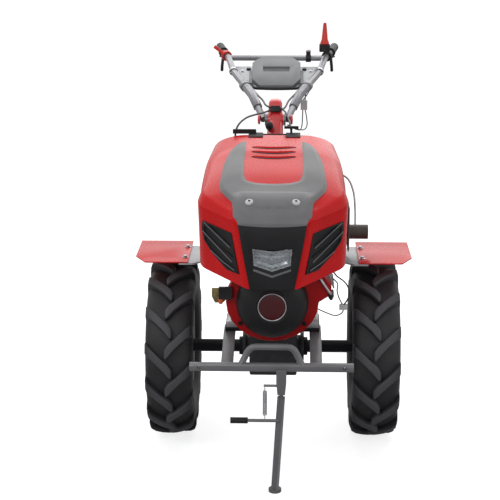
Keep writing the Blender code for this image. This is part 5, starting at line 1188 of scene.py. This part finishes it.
# Each line runs from the rear edge forward to the middle of the nose. Columns: share of the
# length from the rear, share of the half width, share of the height.
BONNET_REAR_Y = 0.050
BONNET_NOSE_Y = -0.470
BONNET_HALF_WIDTH = 0.228
BONNET_BASE_Z = 0.640
BONNET_PEAK_Z = 1.010
BONNET_WALL = 0.0025
LOWER_SHARES = (
    (0.00, 0.905, 0.60),
    (0.26, 0.955, 0.52),
    (0.40, 0.990, 0.20),
    (0.58, 1.000, 0.13),
    (0.76, 0.930, 0.08),
    (1.00, 0.330, 0.00),
)
SHOULDER_SHARES = (
    (0.00, 0.895, 0.86),
    (0.26, 0.965, 0.80),
    (0.40, 0.990, 0.745),
    (0.58, 0.998, 0.69),
    (0.74, 0.985, 0.615),
    (0.97, 0.474, 0.555),
)
UPPER_SHARES = (
    (0.00, 0.760, 0.985),
    (0.26, 0.810, 0.935),
    (0.40, 0.835, 0.880),
    (0.58, 0.830, 0.805),
    (0.73, 0.800, 0.715),
    (0.915, 0.430, 0.630),
)
CROWN_RISE_SHARE = 0.045
FLAT_SHARE = 0.55
SHOULDER_BULGE_SHARE = 0.16
CROWN_BULGE_SHARE = 0.05
# The grey stripe's left half in plan, from the tip at the rear to the middle of the nose.
# Columns: outer edge across and along, inner edge across and along.
STRIPE = (
    (0.0925, -0.026, 0.0915, -0.032),
    (0.1177, -0.059, 0.0920, -0.062),
    (0.1389, -0.113, 0.0931, -0.112),
    (0.1542, -0.181, 0.0948, -0.180),
    (0.1600, -0.246, 0.0938, -0.235),
    (0.1647, -0.300, 0.0905, -0.272),
    (0.1585, -0.333, 0.0845, -0.291),
    (0.1258, -0.385, 0.0600, -0.3020),
    (0.1195, -0.411, 0.0420, -0.3050),
    (0.1124, -0.4446, 0.0250, -0.3065),
    (0.0600, -0.4535, 0.0120, -0.3070),
    (0.0000, -0.4540, 0.0000, -0.3072),
)
# The top sheet rolls over into the nose between two places along it, with a held half width
NOSE_ROLL_Y = -0.355
NOSE_ROLL_HALF = 0.130
NOSE_ROLL_BLEND = 0.030
NOSE_ROLL_POWER = 1.9
NOSE_EDGE_Y = -0.4545
NOSE_EDGE_Z = 0.8455
# The roll's stretch that is smoothed, and how often
SMOOTHED_Y = (-0.447, -0.372)
SMOOTHED_TIMES = 14
ABOVE_ROLL_Z = 1.5
LIP_HALF = 0.1035
STRIPE_THICKNESS = 0.0018
RIDGE_HEIGHT = 0.0045
RIDGE_SHOULDER = 0.013
LOUVRE_HALF = 0.072
LOUVRE_ROWS = (-0.083, -0.118, -0.150)
LOUVRE_DEPTH = 0.011
LOUVRE_RISE = 0.0055


def bonnet_place(shares):
    along, out, up = shares
    return Vector(
        (
            BONNET_HALF_WIDTH * out,
            BONNET_REAR_Y + (BONNET_NOSE_Y - BONNET_REAR_Y) * along,
            BONNET_BASE_Z + (BONNET_PEAK_Z - BONNET_BASE_Z) * up,
        )
    )


def bonnet_lines(parts):
    """The left half of the bonnet as lines from the rear to the nose's corner."""
    lines = []
    for rows, straight in ((LOWER_SHARES, 1), (SHOULDER_SHARES, 1), (UPPER_SHARES, 0)):
        points = [bonnet_place(row) for row in rows]
        line = smooth_line(points, parts)
        if straight:
            line[-parts - 1 :] = [
                points[-2].lerp(points[-1], part / parts) for part in range(parts + 1)
            ]
        lines.append(line)
    rise = (BONNET_PEAK_Z - BONNET_BASE_Z) * CROWN_RISE_SHARE
    flat = [Vector((p.x * FLAT_SHARE, p.y, p.z + rise)) for p in lines[2]]

    def bulged(low, high, share):
        return [
            (a + b) / 2 + Vector((b.z - a.z, 0, a.x - b.x)) * share for a, b in zip(low, high)
        ]

    lower, shoulder, upper = lines
    return (
        lower,
        shoulder,
        bulged(shoulder, upper, SHOULDER_BULGE_SHARE),
        upper,
        bulged(upper, flat, CROWN_BULGE_SHARE),
        flat,
        [Vector((0, p.y, p.z)) for p in flat],
    )


def stripe_depth(x, y):
    """How far a place in plan lies inside the stripe's outline; below zero outside it."""
    outline = [(row[0], row[1]) for row in STRIPE] + [(row[2], row[3]) for row in STRIPE[::-1]]
    inside = False
    least = 1.0
    for (ax, ay), (bx, by) in zip(outline, outline[1:] + outline[:1]):
        run = (bx - ax, by - ay)
        length = run[0] ** 2 + run[1] ** 2
        share = 0.0
        if length:
            share = min(max(((x - ax) * run[0] + (y - ay) * run[1]) / length, 0), 1)
        gap = math.hypot(x - ax - run[0] * share, y - ay - run[1] * share)
        if not (abs(ax) < 0.001 and abs(bx) < 0.001):
            least = min(least, gap)
        if (ay > y) != (by > y) and x < ax + (y - ay) / (by - ay) * run[0]:
            inside = not inside
    return least if inside else -least


def pressed(x, y):
    """The height that the press gives the sheet at a place in plan."""
    share = min(max(stripe_depth(max(abs(x), 0.0005), y) / RIDGE_SHOULDER, 0), 1)
    return RIDGE_HEIGHT * share * share * (3 - 2 * share)


def bonnet_surface():
    """The bonnet's outer sheet: a fine net between its lines, smoothed and pressed."""
    lines = bonnet_lines(12)
    # columns: first line of a stretch across, its last line, and its number of parts
    stretches = ((0, 1, 18), (1, 6, 8))
    rows = []
    for first, last, cuts in stretches:
        for i in range(first, last):
            for cut in range(cuts):
                row = []
                for number in range(len(lines[0])):
                    across = [lines[k][number] for k in range(first, last + 1)]
                    if last == 6:
                        across.append(Vector((-across[-2].x, *across[-2].yz)))
                    row.append(curve_point(across, i - first, cut / cuts))
                rows.append(row)
    rows.append(lines[6])
    front = 12
    whole = []
    for row in rows:
        # beyond the corner the nose is flat to its middle
        corner = row[-1]
        run = [(corner.x * (1 - k / front), *corner.yz) for k in range(1, front + 1)]
        whole.append([at(*place) for place in (*row, *run)])
    piece = sheet("bonnet", whole)
    modify(piece, "MIRROR", merge_threshold=0.0005)
    cleaned(piece, 0.0003)
    modify(piece, "SMOOTH", factor=0.5, iterations=3)
    roll_nose(piece)
    for vertex in piece.data.vertices:
        if vertex.normal.z > 0.3:
            rise = pressed(vertex.co.x, vertex.co.y - AXLE_Y)
            vertex.co += vertex.normal * rise
    return piece


def roll_nose(piece):
    """Roll the top sheet over into the nose in one curve instead of a step."""
    tree = tree_of(piece)
    widest = 0.999 * NOSE_ROLL_HALF
    for vertex in piece.data.vertices:
        along = vertex.co.y - AXLE_Y
        if not NOSE_EDGE_Y < along < NOSE_ROLL_Y or vertex.co.z < NOSE_EDGE_Z:
            continue
        hold = min(max((NOSE_ROLL_HALF - abs(vertex.co.x)) / NOSE_ROLL_BLEND, 0), 1)
        if not hold:
            continue
        # the search runs a hair beside the middle, where it could slip between two faces
        top = at(min(max(vertex.co.x, -widest), widest), NOSE_ROLL_Y, ABOVE_ROLL_Z)
        top.x += 0.00001
        start_z = tree.ray_cast(top, DOWN)[0].z
        share = (along - NOSE_ROLL_Y) / (NOSE_EDGE_Y - NOSE_ROLL_Y)
        rolled = start_z + (NOSE_EDGE_Z - start_z) * share**NOSE_ROLL_POWER
        vertex.co.z += (rolled - vertex.co.z) * hold
    edit(piece)
    clean(0.0004)
    choose(piece, on_roll, "verts")
    bpy.ops.mesh.vertices_smooth(factor=0.5, repeat=SMOOTHED_TIMES)
    leave()


def on_roll(vertex):
    return (
        abs(vertex.co.x) < NOSE_ROLL_HALF - NOSE_ROLL_BLEND
        and SMOOTHED_Y[0] < vertex.co.y - AXLE_Y < SMOOTHED_Y[1]
        and vertex.co.z > NOSE_EDGE_Z
    )


def hull_of(node, grow):
    """A cutter of the outer form of a node, a little larger."""
    cutter = copied(frame["nodes"][node], Matrix.Identity(4))
    edit(cutter)
    bpy.ops.mesh.select_all(action="SELECT")
    bpy.ops.mesh.remove_doubles(threshold=0.0001)
    bpy.ops.mesh.select_all(action="SELECT")
    bpy.ops.mesh.convex_hull()
    leave()
    middle = sum((v.co for v in cutter.data.vertices), Vector()) / len(cutter.data.vertices)
    for vertex in cutter.data.vertices:
        vertex.co = middle + (vertex.co - middle) * grow
    return cutter


def make_bonnet():
    skin = bonnet_surface()
    tree = tree_of(skin)
    make_grille_lines(tree)
    make_stripe(tree)
    make_stripe_lip(tree)
    make_louvres(tree)
    modify(skin, "SOLIDIFY", thickness=BONNET_WALL, offset=-1)
    for node in ("grille_left", "grille_right", "headlamp"):
        cutter = hull_of(node, 1.006)
        modify(skin, "BOOLEAN", operation="DIFFERENCE", object=cutter, solver="EXACT")
        bpy.data.objects.remove(cutter, do_unlink=True)
    done(skin, "bonnet_skin", ENAMEL, "bonnet", 40)
    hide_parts("bonnet_shell")


def on_skin(tree, x, y, lift):
    """The place on the bonnet's sheet above or below a place in plan, lifted off it."""
    spot, normal, _, _ = tree.ray_cast(at(x, y, 2 * BONNET_PEAK_Z), DOWN)
    return spot + normal * lift


def make_stripe(tree):
    """The grey vinyl stripe that runs round the bonnet's top and over its nose."""
    cuts, parts = 40, 9
    outer, inner = [
        smooth_line([Vector((*row[k : k + 2], 0)) for row in STRIPE], parts) for k in (0, 2)
    ]
    half = [[a.lerp(b, cut / cuts) for cut in range(cuts + 1)] for a, b in zip(outer, inner)]
    rows = half + [[Vector((-p.x, p.y, 0)) for p in row] for row in half[-2::-1]]
    spots = [[on_skin(tree, p.x, p.y, STRIPE_THICKNESS) for p in row] for row in rows]
    piece = sheet("stripe", spots)
    cleaned(piece, 0.0001)
    turned_to(piece, UP)
    modify(piece, "SOLIDIFY", thickness=STRIPE_THICKNESS * 0.8, offset=1)
    done(piece, "bonnet_stripe", GREY_VINYL, "bonnet", 40)


def make_stripe_lip(tree):
    """The stripe's bowed lower edge, which laps over the top of the mask."""
    rows = []
    steps = 32
    for step in range(steps + 1):
        share = 2 * step / steps - 1
        x = LIP_HALF * share
        low = at(x, 0, 0.8330 + 0.0060 * share * share)
        spot, _ = spot_on("front_mask", at(x * 0.97, AHEAD_Y, 0.8330), BACK)
        low.y = spot.y - 0.0010
        high = on_skin(tree, x * 1.075, -0.4440, STRIPE_THICKNESS + 0.0006)
        shoulder = Vector((x * 1.035, low.y + 0.0032, 0.8495))
        brow = Vector((x * 1.015, low.y - 0.0003, 0.8440))
        rows.append(smooth_line([high, shoulder, brow, low], 3))
    done(net(rows), "bonnet_stripe_lip", GREY_VINYL, "bonnet", 50)


def make_louvres(tree):
    """Three bowed louvres: a raised lip of the sheet over a black strip that is painted shade in
    the opening under it.
    """
    lips, slots = [], []
    steps = 20
    for y in LOUVRE_ROWS:
        lip_rows, shade_rows = [], []
        for step in range(steps + 1):
            share = 2 * step / steps - 1
            x = LOUVRE_HALF * share
            bow = 0.010 * (share * share)
            swell = math.sqrt(max(1 - share**4, 0))
            line = []
            for k in range(7):
                turn = math.pi * k / 6
                lift = LOUVRE_RISE * swell * math.sin(turn) - 0.0004
                line.append(on_skin(tree, x, y + bow - LOUVRE_DEPTH / 2 * math.cos(turn), lift))
            lip_rows.append(line)
            # a black strip just under each lip: painted shade
            half = LOUVRE_DEPTH * 0.30 * swell
            edge = y + bow - LOUVRE_DEPTH * 0.62
            shade_rows.append(
                [on_skin(tree, x, edge - half, 0.0006), on_skin(tree, x, edge + half, 0.0016)]
            )
        lips.append(net(lip_rows))
        slots.append(net(shade_rows))
    done(joined(lips), "bonnet_louvre_lips", ENAMEL, "bonnet", 50)
    done(joined(slots), "bonnet_louvre_painted_shade", BLACK_ABS, "bonnet", 50)


# Studio

# The floor's own glow, which only the camera sees
FLOOR_GLOW = 0.78
SKY_STRENGTH = 0.42


def make_floor():
    floor = start("plane", size=120, location=(0, 0, 0))
    floor.name = "studio_floor"
    made, tree, shader = new_material("pale_paper")
    fibre = noise(tree, add(tree, "TexCoord").outputs["Object"], 30.0, 4.0)
    seen = add(tree, "LightPath").outputs["Is Camera Ray"]
    glow = add(tree, "Math", {0: seen, 1: FLOOR_GLOW}, operation="MULTIPLY")
    looks = {
        "Base Color": ramp(tree, fibre, "#C6C6C6", "#CECECE"),
        "Roughness": 0.9,
        "Emission Color": (1, 1, 1, 1),
        "Emission Strength": glow.outputs[0],
    }
    feed(tree, shader, looks)
    floor.data.materials.append(made)


def make_world():
    """White where it is seen, straight or in gloss or glass, and a dimmer light elsewhere."""
    world = bpy.data.worlds.new("studio")
    world.use_nodes = True
    bpy.context.scene.world = world
    tree = world.node_tree
    tree.nodes.clear()
    rays = add(tree, "LightPath").outputs
    seen = rays["Is Camera Ray"]
    for kind in ("Is Glossy Ray", "Is Transmission Ray"):
        seen = add(tree, "Math", {0: seen, 1: rays[kind]}, operation="MAXIMUM").outputs[0]
    soft = add(tree, "Background", {"Color": linear("#F2F4F8"), "Strength": SKY_STRENGTH})
    white = add(tree, "Background", {"Color": (1, 1, 1, 1), "Strength": 1.0})
    mix = add(tree, "MixShader", {0: seen, 1: soft.outputs[0], 2: white.outputs[0]})
    add(tree, "OutputWorld", {"Surface": mix.outputs[0]})


def make_lamp(name, place, aim, size, power):
    light = bpy.data.lights.new(name, "AREA")
    light.shape = "RECTANGLE"
    light.size, light.size_y = size
    light.energy = power
    lamp = linked(name, light)
    lamp.location = place
    lamp.rotation_euler = (Vector(aim) - Vector(place)).to_track_quat("-Z", "Y").to_euler()


# The photograph was taken from in front, a little above the bonnet, with a long lens
CAMERA_DISTANCE = 4.54
CAMERA_HEIGHT = 1.863
CAMERA_PITCH = math.radians(15.09)
CAMERA_YAW = math.radians(1.6)
CAMERA_SIDE = 0.080
FOCAL_PIXELS = 1400
PHOTO_PIXELS = 500
SENSOR = 36.0


def make_camera():
    data = bpy.data.cameras.new("camera")
    data.sensor_width = SENSOR
    data.lens = FOCAL_PIXELS / PHOTO_PIXELS * SENSOR
    camera = linked("camera", data)
    across = Vector((math.cos(CAMERA_YAW), math.sin(CAMERA_YAW), 0))
    ahead = Vector((-math.sin(CAMERA_YAW), math.cos(CAMERA_YAW), 0))
    foot = -CAMERA_SIDE * across - CAMERA_DISTANCE * ahead
    camera.location = at(foot.x, foot.y, CAMERA_HEIGHT)
    camera.rotation_euler = (math.pi / 2 - CAMERA_PITCH, 0, CAMERA_YAW)
    bpy.context.scene.camera = camera


bpy.ops.object.select_all(action="DESELECT")
make_camera()
make_cables()
make_bonnet()
make_headlamp()
make_tyres()
make_wheel_bolts()
make_stand_spring()
make_engine_details()
make_bolts()
make_console_details()
make_arm_details()
make_console_leads()
make_rear_details()
make_case_details()
soften_nodes()
make_floor()
make_world()
make_lamp("key", (-2.2, -3.0, 3.4), (0, 0, 0.6), (2.2, 1.6), 40)
make_lamp("fill", (2.8, -2.2, 2.4), (0, 0, 0.6), (2.0, 2.0), 14)
make_lamp("top", (0.0, 1.9, 3.4), (0, -0.2, 0.9), (5.0, 2.4), 74)
make_lamp("back", (0.8, 3.4, 2.2), (0, 0, 0.7), (2.4, 1.4), 10)
bpy.context.scene.view_settings.view_transform = "Standard"
